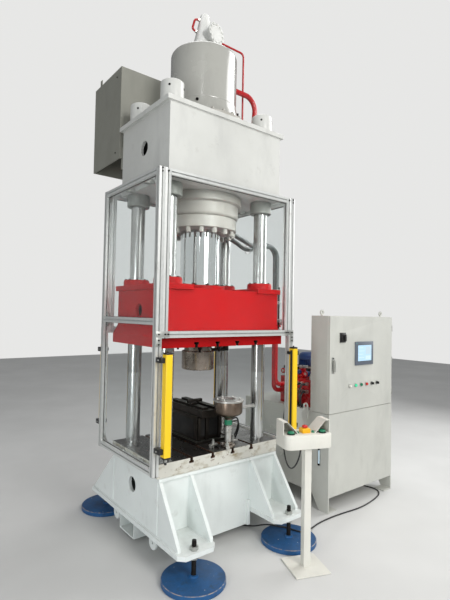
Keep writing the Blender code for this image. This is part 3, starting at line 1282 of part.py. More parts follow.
def build_tooling():
    die_top = SLIDE_BOTTOM - SEAT
    turned("upper_tool", [
        (0, die_top), (DIE_PLATE_RADIUS, die_top), (DIE_PLATE_RADIUS, die_top - DIE_PLATE_HEIGHT),
        (DIE_NECK_RADIUS, die_top - DIE_PLATE_HEIGHT), (DIE_NECK_RADIUS, die_top - DIE_NECK_HEIGHT),
        (DIE_RADIUS, die_top - DIE_NECK_HEIGHT), (DIE_RADIUS, DIE_BOTTOM + DIE_EDGE),
        (DIE_RADIUS - DIE_EDGE, DIE_BOTTOM), (0, DIE_BOTTOM),
    ], (0, 0, 0), tool_steel, FINE)

    base = BOLSTER_TOP + SEAT
    table = block("tool_table", (TABLE_X[0], TABLE_Y[0], base + TABLE_FOOT_HEIGHT - WELD),
                  (TABLE_X[1], TABLE_Y[1], TABLE_BODY_TOP + WELD), tool_steel)
    join(table, block("table_foot", (TABLE_X[0] - TABLE_FOOT, TABLE_Y[0] - TABLE_FOOT, base),
                      (TABLE_X[1] + TABLE_FOOT, TABLE_Y[1] + TABLE_FOOT, base + TABLE_FOOT_HEIGHT)))
    join(table, block("table_top", (TABLE_X[0] + TABLE_OVERHANG_SIDE, TABLE_Y[0] - TABLE_OVERHANG_FRONT,
                                    TABLE_BODY_TOP),
                      (TABLE_X[1] - TABLE_OVERHANG_SIDE, TABLE_Y[1] + TABLE_FOOT, TABLE_TOP)))
    for x in RAIL_X:
        join(table, block("table_rail", (x - RAIL_WIDTH / 2, TABLE_Y[0] - TABLE_OVERHANG_FRONT + TABLE_FOOT,
                                         TABLE_TOP - WELD),
                          (x + RAIL_WIDTH / 2, TABLE_Y[1], TABLE_TOP + RAIL_HEIGHT)))

    rim_top = JIG_CUP_TOP + JIG_RIM_HEIGHT
    turned("tool_post", [
        (0, rim_top - JIG_BORE_DEPTH), (JIG_BORE_RADIUS, rim_top - JIG_BORE_DEPTH),
        (JIG_BORE_RADIUS, rim_top), (JIG_RIM_RADIUS, rim_top), (JIG_RIM_RADIUS, JIG_CUP_TOP),
        (JIG_CUP_RADIUS, JIG_CUP_TOP), (JIG_CUP_RADIUS, JIG_CUP_BOTTOM), (JIG_STEM_RADIUS, JIG_STEM_TOP),
        (JIG_STEM_RADIUS, base + JIG_FOOT_HEIGHT), (JIG_FOOT_RADIUS, base + JIG_FOOT_HEIGHT),
        (JIG_FOOT_RADIUS, base), (0, base),
    ], (JIG_X, JIG_Y, 0), tool_steel)


# Two-hand control

def console_place(x, y, z):
    """A place given from the console's own centre line."""
    return at(CONSOLE_X, CONSOLE_Y, 0) @ Matrix.Rotation(CONSOLE_TURN, 4, "Z") @ at(x, y, z)


def turned_block(name, low, high, material=None):
    """A box given from the console's centre line."""
    item = block(name, low, high, material)
    item.matrix_local = console_place(*item.location)
    return item


def rounded_front(half_width, back, front, corner, steps=6):
    """Plan outline of a box whose two front corners are round."""
    outline = [(half_width, back), (-half_width, back)]
    for sign, start in ((-1, math.pi), (1, 1.5 * math.pi)):
        hub_x, hub_y = sign * (half_width - corner), front + corner
        for step in range(steps + 1):
            turn = start + math.pi / 2 * step / steps
            outline.append((hub_x + corner * math.cos(turn), hub_y + corner * math.sin(turn)))
    return outline


def build_console():
    foot = CONSOLE_FOOT / 2
    post = CONSOLE_POST / 2
    stand = turned_block("console_stand", (-foot, -foot, 0), (foot, foot, CONSOLE_FOOT_HEIGHT), console_white)
    join(stand, turned_block("console_post", (-post, -post, CONSOLE_FOOT_HEIGHT - WELD),
                             (post, post, CONSOLE_BOTTOM - SEAT)))

    back = CONSOLE_DEPTH / 2 + CONSOLE_BACK_SHIFT
    front = back - CONSOLE_DEPTH
    height = CONSOLE_TOP - CONSOLE_BOTTOM
    outline = rounded_front(CONSOLE_WIDTH / 2, back, front, CONSOLE_CORNER)
    box = plate("console_box", outline, height, console_place(0, 0, CONSOLE_BOTTOM + height / 2),
                console_white)
    for side, side_name in ((-1, "left"), (1, "right")):
        edge = side * (CONSOLE_WIDTH / 2)
        top = CONSOLE_TOP + HOOD_HEIGHT
        ridge = edge - side * HOOD_FLAT
        toe = edge - side * HOOD_WIDTH
        skin = side * HOOD_SHEET
        hood = [(edge, CONSOLE_TOP - WELD), (edge, top), (ridge, top), (toe, CONSOLE_TOP - WELD),
                (toe + 2 * skin, CONSOLE_TOP - WELD), (ridge + skin, top - HOOD_SHEET),
                (edge - skin, top - HOOD_SHEET), (edge - skin, CONSOLE_TOP - WELD)]
        place = console_place(0, back - HOOD_DEPTH / 2, 0) @ FACING_FRONT
        join(box, plate(f"hood_{side_name}", hood, HOOD_DEPTH, place))
        well = drum(f"palm_well_{side_name}", (0, 0, 0), PALM_STEM_RADIUS + RUN, 2 * PALM_WELL_DEPTH,
                    sides=COARSE)
        well.matrix_local = console_place(side * PALM_X, PALM_Y, CONSOLE_TOP)
        cut(box, well)
        build_cap(f"palm_button_{side_name}", PALM_RADIUS, PALM_HEIGHT, PALM_STEM_RADIUS, PALM_STEM,
                  PALM_TRAVEL, console_place(side * PALM_X, PALM_Y, CONSOLE_TOP), palm_green)
    middle = (front + back) / 2
    half = STOP_WIDTH / 2
    join(box, turned_block("stop_housing", (-half, middle - half, CONSOLE_TOP - WELD),
                           (half, middle + half, CONSOLE_TOP + STOP_HEIGHT)))
    stop_well = drum("stop_well", (0, 0, 0), STOP_STEM_RADIUS + RUN, 2 * STOP_HEIGHT, sides=COARSE)
    stop_place = console_place(0, middle, CONSOLE_TOP + STOP_HEIGHT)
    stop_well.matrix_local = stop_place
    cut(box, stop_well)
    gland = drum("console_gland", (CONSOLE_CABLE[0][0], CONSOLE_CABLE[0][1],
                                   CONSOLE_BOTTOM - CABLE_GLAND_HEIGHT / 2),
                 CABLE_GLAND_RADIUS, CABLE_GLAND_HEIGHT + 2 * WELD, sides=8)
    join(box, gland)
    build_cap("emergency_stop", STOP_RADIUS, STOP_CAP_HEIGHT, STOP_STEM_RADIUS, STOP_STEM, CAP_TRAVEL,
              stop_place, signal_red)


def build_cap(name, radius, height, stem_radius, stem, travel, placing, material):
    """Mushroom button: a round head that stands its travel off the panel, and a stem in the well."""
    crown = 0.35 * height
    cap = turned(name, [
        (0, travel + height), (radius - crown, travel + height), (radius, travel + height - crown),
        (radius, travel), (stem_radius, travel), (stem_radius, -stem), (0, -stem),
    ], (0, 0, 0), material, COARSE)
    cap.matrix_local = placing
    return cap


# Power unit: tank, cabinet and door

def build_oil_tank():
    """Tank on plate legs, with its lifting lug, round hatch and cable glands."""
    tank = block("oil_tank", (UNIT_LEFT + SHEET, UNIT_FRONT + SHEET, TANK_FLOOR),
                 (UNIT_RIGHT - SHEET, UNIT_BACK, TANK_TOP), cabinet_grey)
    join(tank, block("tank_front", (UNIT_LEFT + WELD, UNIT_FRONT, TANK_FLOOR + WELD),
                     (UNIT_RIGHT - WELD, UNIT_FRONT + 2 * SHEET, TANK_TOP - WELD)))
    for low_x, foot_side in ((UNIT_LEFT, 1), (UNIT_RIGHT - SHEET - WELD, -1)):
        for start, outward in ((UNIT_FRONT, -1), (UNIT_BACK, 1)):
            far = start - outward * LEG_DEPTH
            leg = [(start, 0), (start, TANK_TOP - 2 * WELD), (far, TANK_TOP - 2 * WELD), (far, LEG_CUT + LEG_CUT),
                   (start - outward * LEG_FOOT_DEPTH, 0)]
            centre_x = low_x + (SHEET + WELD) / 2
            join(tank, plate("tank_leg", leg, SHEET + WELD, at(centre_x, 0, 0) @ FACING_SIDE))
            foot_x = UNIT_LEFT if foot_side > 0 else UNIT_RIGHT
            x_low, x_high = sorted((foot_x + foot_side * WELD, foot_x + foot_side * LEG_FOOT_WIDTH))
            y_low, y_high = sorted((start - outward * WELD, start - outward * LEG_FOOT_DEPTH))
            join(tank, block("tank_foot", (x_low, y_low, 0), (x_high, y_high, LEG_FOOT_HEIGHT)))
    lug_half = UNIT_LUG_WIDTH / 2
    lug_middle = UNIT_LUG_TOP - lug_half
    lug = [(UNIT_LUG_Y - lug_half, UNIT_LUG_BOTTOM)]
    lug += [(UNIT_LUG_Y - lug_half * math.cos(turn), lug_middle + lug_half * math.sin(turn))
            for turn in (math.pi * step / 8 for step in range(9))]
    lug += [(UNIT_LUG_Y + lug_half, UNIT_LUG_BOTTOM)]
    eye = circle_points((UNIT_LUG_Y, lug_middle), UNIT_LUG_HOLE, 12)
    join(tank, plate("tank_lug", lug, SHEET, at(UNIT_LEFT + SHEET / 2 + WELD, 0, 0) @ FACING_SIDE, None, (eye,)))
    hatch_x = UNIT_LEFT + SHEET - HATCH_HEIGHT / 2
    join(tank, drum("tank_hatch", (hatch_x + WELD, HATCH_Y, HATCH_Z), HATCH_RADIUS, HATCH_HEIGHT + WELD, axis="X"))
    join(tank, bolt_ring("hatch_bolts", (hatch_x - HATCH_HEIGHT / 2, HATCH_Y, HATCH_Z),
                         HATCH_RADIUS - HATCH_BOLT_INSET, HATCH_BOLTS, HATCH_BOLT_RADIUS,
                         2 * HATCH_BOLT_HEIGHT, axis="X"))
    floor_gland = drum("floor_cable_gland", (FLOOR_CABLE[0][0], FLOOR_CABLE[0][1],
                                             TANK_FLOOR - CABLE_GLAND_HEIGHT / 2 + WELD / 2),
                       CABLE_GLAND_RADIUS, CABLE_GLAND_HEIGHT + WELD, sides=8)
    top_gland = drum("top_cable_gland", (CONSOLE_CABLE[-1][0], CONSOLE_CABLE[-1][1],
                                         TANK_TOP + CABLE_GLAND_HEIGHT / 2 - WELD / 2),
                     CABLE_GLAND_RADIUS, CABLE_GLAND_HEIGHT + WELD, sides=8)
    return join(tank, floor_gland, top_gland)


def build_cabinet():
    """Sheet enclosure with a mounting plate inside and two lifting eyes on top."""
    cabinet = block("electric_cabinet", (UNIT_LEFT, DOOR_BACK + SEAT, CABINET_BOTTOM),
                    (UNIT_RIGHT, CABINET_BACK, CABINET_TOP), cabinet_grey)
    wall = CABINET_WALL
    cut(cabinet, block("cabinet_inside", (UNIT_LEFT + wall, DOOR_BACK - OVERRUN, CABINET_BOTTOM + wall),
                       (UNIT_RIGHT - wall, CABINET_BACK - wall - CARD_PLATE, CABINET_TOP - wall)))
    cut(cabinet, block("cabinet_card_gap", (UNIT_LEFT + wall, CABINET_BACK - wall - 2 * CARD_PLATE,
                                            CABINET_BOTTOM + wall),
                       (UNIT_LEFT + CARD_MARGIN, CABINET_BACK - wall, CABINET_TOP - wall)))
    cut(cabinet, block("cabinet_card_gap", (UNIT_RIGHT - CARD_MARGIN, CABINET_BACK - wall - 2 * CARD_PLATE,
                                            CABINET_BOTTOM + wall),
                       (UNIT_RIGHT - wall, CABINET_BACK - wall, CABINET_TOP - wall)))
    eye_y = (DOOR_BACK + CABINET_BACK) / 2
    for x in (UNIT_LEFT + EYE_INSET, UNIT_RIGHT - EYE_INSET):
        stem = drum("cabinet_eye_stem", (x, eye_y, CABINET_TOP + EYE_WIRE), EYE_WIRE * 1.5, 3 * EYE_WIRE,
                    sides=COARSE)
        outer, inner = EYE_RADIUS + EYE_WIRE, EYE_RADIUS - EYE_WIRE
        ring = turned("cabinet_eye", [(outer, EYE_WIRE), (outer, -EYE_WIRE), (inner, -EYE_WIRE),
                                      (inner, EYE_WIRE)], (x, eye_y, CABINET_TOP + EYE_WIRE + outer),
                      None, COARSE)
        ring.rotation_euler.x = math.pi / 2
        join(cabinet, stem, ring)
    return cabinet


def build_door():
    """Folded door with a solid strip for its buttons, its screen bezel and the main switch's plate."""
    door = block("cabinet_door", (UNIT_LEFT + DOOR_MARGIN, UNIT_FRONT, CABINET_BOTTOM + DOOR_MARGIN),
                 (UNIT_RIGHT - DOOR_MARGIN, DOOR_BACK, CABINET_TOP - DOOR_MARGIN), cabinet_grey)
    fold = DOOR_MARGIN + DOOR_RIM
    for low, high in ((CABINET_BOTTOM + fold, BUTTON_Z - BUTTON_STRIP),
                      (BUTTON_Z + BUTTON_STRIP, CABINET_TOP - fold)):
        cut(door, block("door_pan", (UNIT_LEFT + fold, UNIT_FRONT + DOOR_SKIN, low),
                        (UNIT_RIGHT - fold, DOOR_BACK + OVERRUN, high)))
    screen = block("door_screen", (SCREEN_X[0], UNIT_FRONT - SCREEN_STAND, SCREEN_Z[0]),
                   (SCREEN_X[1], UNIT_FRONT + WELD, SCREEN_Z[1]))
    border = SCREEN_BORDER
    glass = block("door_screen_glass", (SCREEN_X[0] + border, UNIT_FRONT - SCREEN_STAND - OVERRUN,
                                        SCREEN_Z[0] + border),
                  (SCREEN_X[1] - border, UNIT_FRONT - SCREEN_STAND + SCREEN_RECESS, SCREEN_Z[1] - border))
    half = SWITCH_PLATE / 2
    switch_plate = block("door_switch_plate", (SWITCH_X - half, UNIT_FRONT - SWITCH_PLATE_HEIGHT,
                                               SWITCH_Z - half),
                         (SWITCH_X + half, UNIT_FRONT + WELD, SWITCH_Z + half))
    join(door, screen, switch_plate)
    cut(door, glass)
    for index, name in enumerate(BUTTON_NAMES):
        x = BUTTON_START_X + index * BUTTON_PITCH
        join(door, drum("door_button_ring", (x, UNIT_FRONT - RING_HEIGHT / 2 + WELD / 2, BUTTON_Z),
                        RING_RADIUS, RING_HEIGHT + WELD, axis="Y", sides=COARSE))
        if name:
            cut(door, drum(f"{name}_well", (x, UNIT_FRONT - RING_HEIGHT, BUTTON_Z), CAP_RADIUS + RUN,
                           2 * (WELL_DEPTH + RING_HEIGHT), axis="Y", sides=COARSE))
        else:
            join(door, drum("door_lamp", (x, UNIT_FRONT - RING_HEIGHT - LAMP_HEIGHT / 2 + WELD, BUTTON_Z),
                            CAP_RADIUS, LAMP_HEIGHT, axis="Y", sides=COARSE))
    return door


def build_door_fittings():
    """Push buttons, selectors, main switch and handle, each with its origin on its own axis."""
    for index, name in enumerate(BUTTON_NAMES):
        if not name:
            continue
        x = BUTTON_START_X + index * BUTTON_PITCH
        selector = "selector" in name
        material = black_plastic if selector else (signal_red if "stop" in name else palm_green)
        reach = RING_HEIGHT + CAP_REACH
        length = reach + WELL_DEPTH - CAP_TRAVEL
        centre_y = UNIT_FRONT - reach + length / 2
        cap = drum(name, (x, centre_y, BUTTON_Z), CAP_RADIUS, length, material, axis="Y", sides=COARSE)
        if selector:
            grip = block(f"{name}_grip", (x - SELECTOR_BAR / 2, UNIT_FRONT - reach - SELECTOR_BAR_HEIGHT,
                                          BUTTON_Z - CAP_RADIUS + WELD),
                         (x + SELECTOR_BAR / 2, UNIT_FRONT - reach + WELD, BUTTON_Z + CAP_RADIUS - WELD))
            join(cap, grip)

    plate_face = UNIT_FRONT - SWITCH_PLATE_HEIGHT - SEAT
    knob = drum("main_switch", (SWITCH_X, plate_face - SWITCH_KNOB_HEIGHT / 2, SWITCH_Z), SWITCH_KNOB_RADIUS,
                SWITCH_KNOB_HEIGHT, black_plastic, axis="Y")
    grip_face = plate_face - SWITCH_KNOB_HEIGHT
    join(knob, block("main_switch_grip", (SWITCH_X - SWITCH_GRIP_WIDTH / 2, grip_face - SWITCH_GRIP_HEIGHT,
                                          SWITCH_Z - SWITCH_KNOB_RADIUS + WELD),
                     (SWITCH_X + SWITCH_GRIP_WIDTH / 2, grip_face + WELD, SWITCH_Z + SWITCH_KNOB_RADIUS - WELD)))

    boss_face = UNIT_FRONT - SEAT
    handle = drum("door_handle", (HANDLE_X, boss_face - HANDLE_BOSS_HEIGHT / 2, HANDLE_Z),
                  HANDLE_BOSS_RADIUS, HANDLE_BOSS_HEIGHT, black_plastic, axis="Y", sides=COARSE)
    lever_face = boss_face - HANDLE_BOSS_HEIGHT
    join(handle, block("door_handle_lever",
                       (HANDLE_X - HANDLE_WIDTH / 2, lever_face - HANDLE_THICKNESS, HANDLE_Z - HANDLE_LENGTH),
                       (HANDLE_X + HANDLE_WIDTH / 2, lever_face + WELD, HANDLE_Z + HANDLE_WIDTH / 2)))


# Pump, valves and hydraulic lines

def build_motor():
    """Upright pump motor on its flange, with cooling fins and a fan cowl."""
    base = TANK_TOP + SEAT
    body_bottom = base + MOTOR_FLANGE_HEIGHT
    body_top = body_bottom + MOTOR_LENGTH
    cowl_top = body_top + MOTOR_COWL_HEIGHT
    motor = turned("pump_motor", [
        (0, cowl_top), (MOTOR_CAP_RADIUS, cowl_top), (MOTOR_RADIUS, cowl_top - MOTOR_COWL_HEIGHT / 2),
        (MOTOR_RADIUS, body_top), (MOTOR_RADIUS - MOTOR_FIN_DEPTH, body_top),
        (MOTOR_RADIUS - MOTOR_FIN_DEPTH, body_bottom), (MOTOR_FLANGE_RADIUS, body_bottom),
        (MOTOR_FLANGE_RADIUS, base), (0, base),
    ], (MOTOR_X, MOTOR_Y, 0), motor_blue)
    bm = bmesh.new()
    for index in range(MOTOR_FINS):
        turn = Matrix.Rotation(2 * math.pi * index / MOTOR_FINS, 4, "Z")
        fin = bmesh.ops.create_cube(bm, size=1)
        size = Vector((2 * MOTOR_FIN_DEPTH, MOTOR_FIN_WIDTH, MOTOR_LENGTH + 2 * WELD))
        bmesh.ops.scale(bm, vec=size, verts=fin["verts"])
        bmesh.ops.translate(bm, vec=(MOTOR_RADIUS - MOTOR_FIN_DEPTH, 0, 0), verts=fin["verts"])
        bmesh.ops.transform(bm, matrix=turn, verts=fin["verts"])
    fins = link("motor_fins", to_mesh("motor_fins", bm), None)
    fins.location = (MOTOR_X, MOTOR_Y, (body_bottom + body_top) / 2)
    return join(motor, fins)


def build_valve_block():
    """Manifold with three stacked valves, their coils on both sides, and an upright cartridge."""
    x_low, x_high = VALVE_BLOCK_X
    y_low, y_high = VALVE_BLOCK_Y
    manifold = block("valve_block", (x_low, y_low, VALVE_BLOCK_BOTTOM), (x_high, y_high, VALVE_BLOCK_TOP),
                     pipe_red)
    middle_x = (x_low + x_high) / 2
    for share in STACK_Y_SHARES:
        y = y_low + (y_high - y_low) * share
        half = STACK_WIDTH / 2
        join(manifold, block("valve_stack", (middle_x - half, y - half, VALVE_BLOCK_TOP - WELD),
                             (middle_x + half, y + half, VALVE_BLOCK_TOP + STACK_HEIGHT)))
        join(manifold, drum("valve_coil", (middle_x, y, VALVE_BLOCK_TOP + COIL_RISE), COIL_RADIUS,
                            STACK_WIDTH + 2 * COIL_LENGTH, axis="X", sides=COARSE))
    return manifold


def build_line(name, shape, material):
    """Hydraulic line: out of the gland, over the guard's side, down and into the manifold."""
    start_x = GLAND_RADIUS + PORT_REACH + SEAT
    y = shape["port_y"]
    crest, drop = shape["crest_z"], shape["drop_x"]
    bend = drop - shape["crest_x"]
    arc = smooth_route([(start_x, y, shape["port_z"]), (start_x + LINE_RADIUS, y, shape["port_z"]),
                        ((start_x + POST_X) / 2, y, (shape["port_z"] + shape["wall_z"]) / 2),
                        (POST_X, y, shape["wall_z"]), (shape["crest_x"], y, crest)], 3 * LINE_RADIUS)
    turn = [(shape["crest_x"] + bend * math.sin(math.pi / 2 * step / BEND_STEPS), y,
             crest - bend + bend * math.cos(math.pi / 2 * step / BEND_STEPS))
            for step in range(1, BEND_STEPS + 1)]
    block_x = VALVE_BLOCK_X[0] - SEAT
    low = bent_route([(drop, y, crest - bend - LINE_RADIUS), (drop, shape["block_y"], shape["elbow_z"]),
                      (block_x, shape["block_y"], shape["elbow_z"])], 3 * LINE_RADIUS)
    return tube(name, [*arc, *turn, *low], LINE_RADIUS, material)


build_bed()
build_foot_frame(-1, "foot_frame_left")
build_foot_frame(1, "foot_frame_right")
for mount_name, mount_side, mount_y in (("front_left", -1, STUD_FRONT_Y), ("front_right", 1, STUD_FRONT_Y),
                                        ("rear_left", -1, STUD_BACK_Y), ("rear_right", 1, STUD_BACK_Y)):
    build_levelling_mount(f"levelling_mount_{mount_name}", mount_side * STUD_X, mount_y)
build_bolster()
for column_name, (column_x, column_y) in COLUMN_PLACES.items():
    build_column(column_name, column_x, column_y)
build_slide()
build_crown()
build_main_cylinder()
build_gland()
build_ram()
build_prefill_tank()
build_prefill_valve()
build_pilot_pipe()
build_fill_pipe()
build_service_box()
build_side_guard(-1, "guard_left")
build_side_guard(1, "guard_right")
build_window_frame(-1, "guard_front")
build_window_frame(1, "guard_rear")
build_panes()
for curtain_side, side_word in ((-1, "left"), (1, "right")):
    for curtain_front, front_word in ((-1, "front"), (1, "rear")):
        build_light_curtain(f"light_curtain_{front_word}_{side_word}", curtain_side, curtain_front)
build_tooling()
build_console()
build_oil_tank()
build_cabinet()
build_door()
build_door_fittings()
build_motor()
build_valve_block()
build_line("pressure_line", LINES["pressure_line"], pipe_red)
build_line("return_line", LINES["return_line"], pipe_red)
tube("floor_cable", smooth_route(FLOOR_CABLE, 6 * CABLE_RADIUS), CABLE_RADIUS, cable_black)
tube("console_cable", smooth_route(CONSOLE_CABLE, 6 * CABLE_RADIUS), CABLE_RADIUS, cable_black)
bpy.context.view_layer.update()
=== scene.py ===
"""Looks of the column press, its power unit and its two-hand console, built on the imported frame."""

import math

import bmesh
import bpy
from mathutils import Matrix, Vector, noise


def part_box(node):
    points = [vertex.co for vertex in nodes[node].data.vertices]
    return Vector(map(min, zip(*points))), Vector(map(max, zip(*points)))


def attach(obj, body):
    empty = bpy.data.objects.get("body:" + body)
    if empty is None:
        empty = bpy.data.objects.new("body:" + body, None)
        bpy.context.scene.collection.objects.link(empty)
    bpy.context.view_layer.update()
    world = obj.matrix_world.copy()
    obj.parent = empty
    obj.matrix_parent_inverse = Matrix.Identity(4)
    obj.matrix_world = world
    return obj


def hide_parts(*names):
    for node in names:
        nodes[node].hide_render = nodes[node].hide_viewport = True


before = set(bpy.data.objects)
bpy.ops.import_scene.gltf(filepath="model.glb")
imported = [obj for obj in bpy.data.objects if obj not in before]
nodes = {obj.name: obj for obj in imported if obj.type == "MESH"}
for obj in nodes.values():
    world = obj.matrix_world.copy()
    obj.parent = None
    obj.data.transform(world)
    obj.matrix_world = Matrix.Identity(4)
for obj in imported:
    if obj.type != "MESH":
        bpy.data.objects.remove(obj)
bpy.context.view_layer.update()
scene = bpy.context.scene

# Sizes are in metres, from the press's own centre line: X along its front, Y to the back, Z up.
HOME = Vector((-0.67875, 0.07305742466914517, 0))
REST = "installation"
SLIDE = "slide_assembly"
DOOR = "door"
SIDES = (-1, 1)
CORNERS = {"front_left": (-1, -1), "front_right": (1, -1), "rear_left": (-1, 1), "rear_right": (1, 1)}
UP = Vector((0, 0, 1))


# Camera, solved from the photo's straight edges

EYE = (-2.06536, -2.97602, 1.7)
YAW, PITCH, ROLL = 0.665075, 0.0312293, -0.0191091
FOCAL_PIXELS, PHOTO_HEIGHT = 442.9457, 600


def place_camera():
    ahead = Vector((math.sin(YAW) * math.cos(PITCH), math.cos(YAW) * math.cos(PITCH), math.sin(PITCH)))
    right = Vector((math.cos(YAW), -math.sin(YAW), 0))
    down = ahead.cross(right)
    right, down = (math.cos(ROLL) * right + math.sin(ROLL) * down,
                   math.cos(ROLL) * down - math.sin(ROLL) * right)
    lens = bpy.data.cameras.new("camera")
    lens.sensor_width = 36
    lens.lens = FOCAL_PIXELS / PHOTO_HEIGHT * lens.sensor_width
    lens.clip_end = 60
    camera = bpy.data.objects.new("camera", lens)
    turn = Matrix((right, -down, -ahead)).transposed()
    camera.matrix_world = Matrix.Translation(Vector(EYE) + HOME) @ turn.to_4x4()
    scene.collection.objects.link(camera)
    scene.camera = camera


place_camera()


# Colours and surfaces

def shade(red, green, blue):
    """Screen colour, 0 to 255, as the shader wants it."""
    return (*((c / 255 / 12.92) if c <= 10 else ((c / 255 + 0.055) / 1.055) ** 2.4 for c in (red, green, blue)), 1)


class Surface:
    """One material's nodes, made in short steps."""

    def __init__(self, name, colour, rough, metal=0.0, **sockets):
        self.material = bpy.data.materials.new(name)
        self.material.use_nodes = True
        self.tree = self.material.node_tree
        self.shader = self.tree.nodes["Principled BSDF"]
        self.spot = self.node("ShaderNodeTexCoord").outputs["Object"]
        self.colour = shade(*colour)
        self.rough = rough
        self.height = None
        self.set("Base Color", self.colour)
        self.set("Roughness", rough)
        self.set("Metallic", metal)
        for socket, value in sockets.items():
            self.set(socket.replace("_", " "), value)

    def set(self, socket, value):
        self.shader.inputs[socket].default_value = value

    def node(self, kind, **values):
        made = self.tree.nodes.new(kind)
        for key, value in values.items():
            setattr(made, key, value)
        return made

    def feed(self, target, value):
        """Link a node's output to a socket, or set the socket to a number or a colour."""
        if isinstance(value, bpy.types.NodeSocket):
            self.tree.links.new(value, target)
        else:
            target.default_value = value

    def texture(self, kind, output, stretch=None, **inputs):
        """A pattern on the piece's own coordinates, which stretch multiplies."""
        spot = self.spot
        if stretch:
            mapping = self.node("ShaderNodeMapping")
            mapping.inputs["Scale"].default_value = stretch
            self.feed(mapping.inputs["Vector"], spot)
            spot = mapping.outputs["Vector"]
        made = self.node(kind)
        self.feed(made.inputs["Vector"], spot)
        for socket, value in inputs.items():
            made.inputs[socket].default_value = value
        return made.outputs[output]

    def clouds(self, scale, detail=3.0, stretch=None, rough=0.6):
        return self.texture("ShaderNodeTexNoise", "Fac", stretch, Scale=scale, Detail=detail, Roughness=rough)

    def window(self, value, low, high, start=0.0, end=1.0):
        """Values from low to high become start to end."""
        made = self.node("ShaderNodeMapRange")
        self.feed(made.inputs["Value"], value)
        for socket, number in (("From Min", low), ("From Max", high), ("To Min", start), ("To Max", end)):
            made.inputs[socket].default_value = number
        return made.outputs["Result"]

    def patches(self, scale, detail, low, high, start=0.0, end=1.0, stretch=None, rough=0.6):
        """Mask of cloud patches: scale, detail, and the window that cuts them out."""
        return self.window(self.clouds(scale, detail, stretch, rough), low, high, start, end)

    def math(self, kind, first, second):
        made = self.node("ShaderNodeMath", operation=kind)
        self.feed(made.inputs[0], first)
        self.feed(made.inputs[1], second)
        return made.outputs[0]

    def height_above_floor(self):
        made = self.node("ShaderNodeSeparateXYZ")
        self.feed(made.inputs[0], self.spot)
        return made.outputs["Z"]

    def upward(self):
        """One where the surface looks up, nothing where it looks down or sideways."""
        split = self.node("ShaderNodeSeparateXYZ")
        self.feed(split.inputs[0], self.node("ShaderNodeNewGeometry").outputs["Normal"])
        return self.window(split.outputs["Z"], 0.3, 0.95)

    def mix(self, kind, mask, below, above, socket):
        """Lay a value over what a socket of the shader has, where the mask is one."""
        made = self.node("ShaderNodeMix", data_type=kind)
        for name, value in (("Factor", mask), ("A", below), ("B", above)):
            self.feed(made.inputs[name], value)
        self.feed(self.shader.inputs[socket], made.outputs["Result"])
        return made.outputs["Result"]

    def layer(self, mask, colour):
        self.colour = self.mix("RGBA", mask, self.colour, shade(*colour), "Base Color")
        return self

    def roughen(self, mask, value):
        self.rough = self.mix("FLOAT", mask, self.rough, value, "Roughness")
        return self

    def stain(self, colour, *patch, **more):
        return self.layer(self.patches(*patch, **more), colour)

    def dull(self, rough, *patch, **more):
        return self.roughen(self.patches(*patch, **more), rough)

    def relief(self, height, depth):
        made = self.node("ShaderNodeBump")
        made.inputs["Strength"].default_value = 1.0
        made.inputs["Distance"].default_value = depth
        self.feed(made.inputs["Height"], height)
        if self.height:
            self.feed(made.inputs["Normal"], self.height)
        self.height = made.outputs["Normal"]
        self.feed(self.shader.inputs["Normal"], self.height)
        return self


def painted(name, colour, rough, dirt, dirt_share, peel=0.00012, coat=0.0):
    """Machine paint: faint cloudiness, dust on what looks up, grime in patches and a fine orange peel."""
    made = Surface(name, colour, rough, Coat_Weight=coat, Coat_Roughness=0.12)
    made.stain(tuple(min(255, round(c * 1.035 + 3)) for c in colour), 1.7, 4, 0.35, 0.7)
    made.stain(tuple(round(c * 0.93) for c in colour), 5.5, 5, 0.52, 0.78, 0, 0.7, (1, 1, 0.35))
    made.stain(dirt, 9, 6, 0.6, 0.78, 0, dirt_share)
    made.stain(dirt, 95, 2, 0.74, 0.8, 0, 0.5)
    made.layer(made.math("MULTIPLY", made.upward(), made.patches(14, 4, 0.3, 0.8, 0.1, dirt_share)), dirt)
    made.dull(min(1.0, rough + 0.18), 6, 4, 0.35, 0.75)
    return made.relief(made.clouds(420, 2), peel)


def moulded(name, colour, rough, duller, scale=120):
    """Coloured plastic with a soft change of gloss."""
    return Surface(name, colour, rough).dull(duller, scale, 3, 0.3, 0.7)


def cut_steel(name, colour, rough, stretch, stain=(60, 52, 42), stain_share=0.5, depth=0.00004):
    """Machined steel: tool marks along one way, with oil and heat stains."""
    made = Surface(name, colour, rough, 0.92)
    lines = made.clouds(60, 4, stretch, 0.7)
    made.layer(made.window(lines, 0.35, 0.7, 0, 0.45), tuple(round(c * 0.72) for c in colour))
    made.stain(stain, 7, 6, 0.5, 0.75, 0, stain_share)
    made.dull(min(0.9, rough + 0.22), 11, 5, 0.35, 0.7)
    return made.relief(lines, depth)


def glowing(name, colour, strength, rough):
    made = Surface(name, colour, rough, Emission_Color=shade(*colour), Emission_Strength=strength)
    return made.dull(rough + 0.1, 80, 2, 0.3, 0.7)


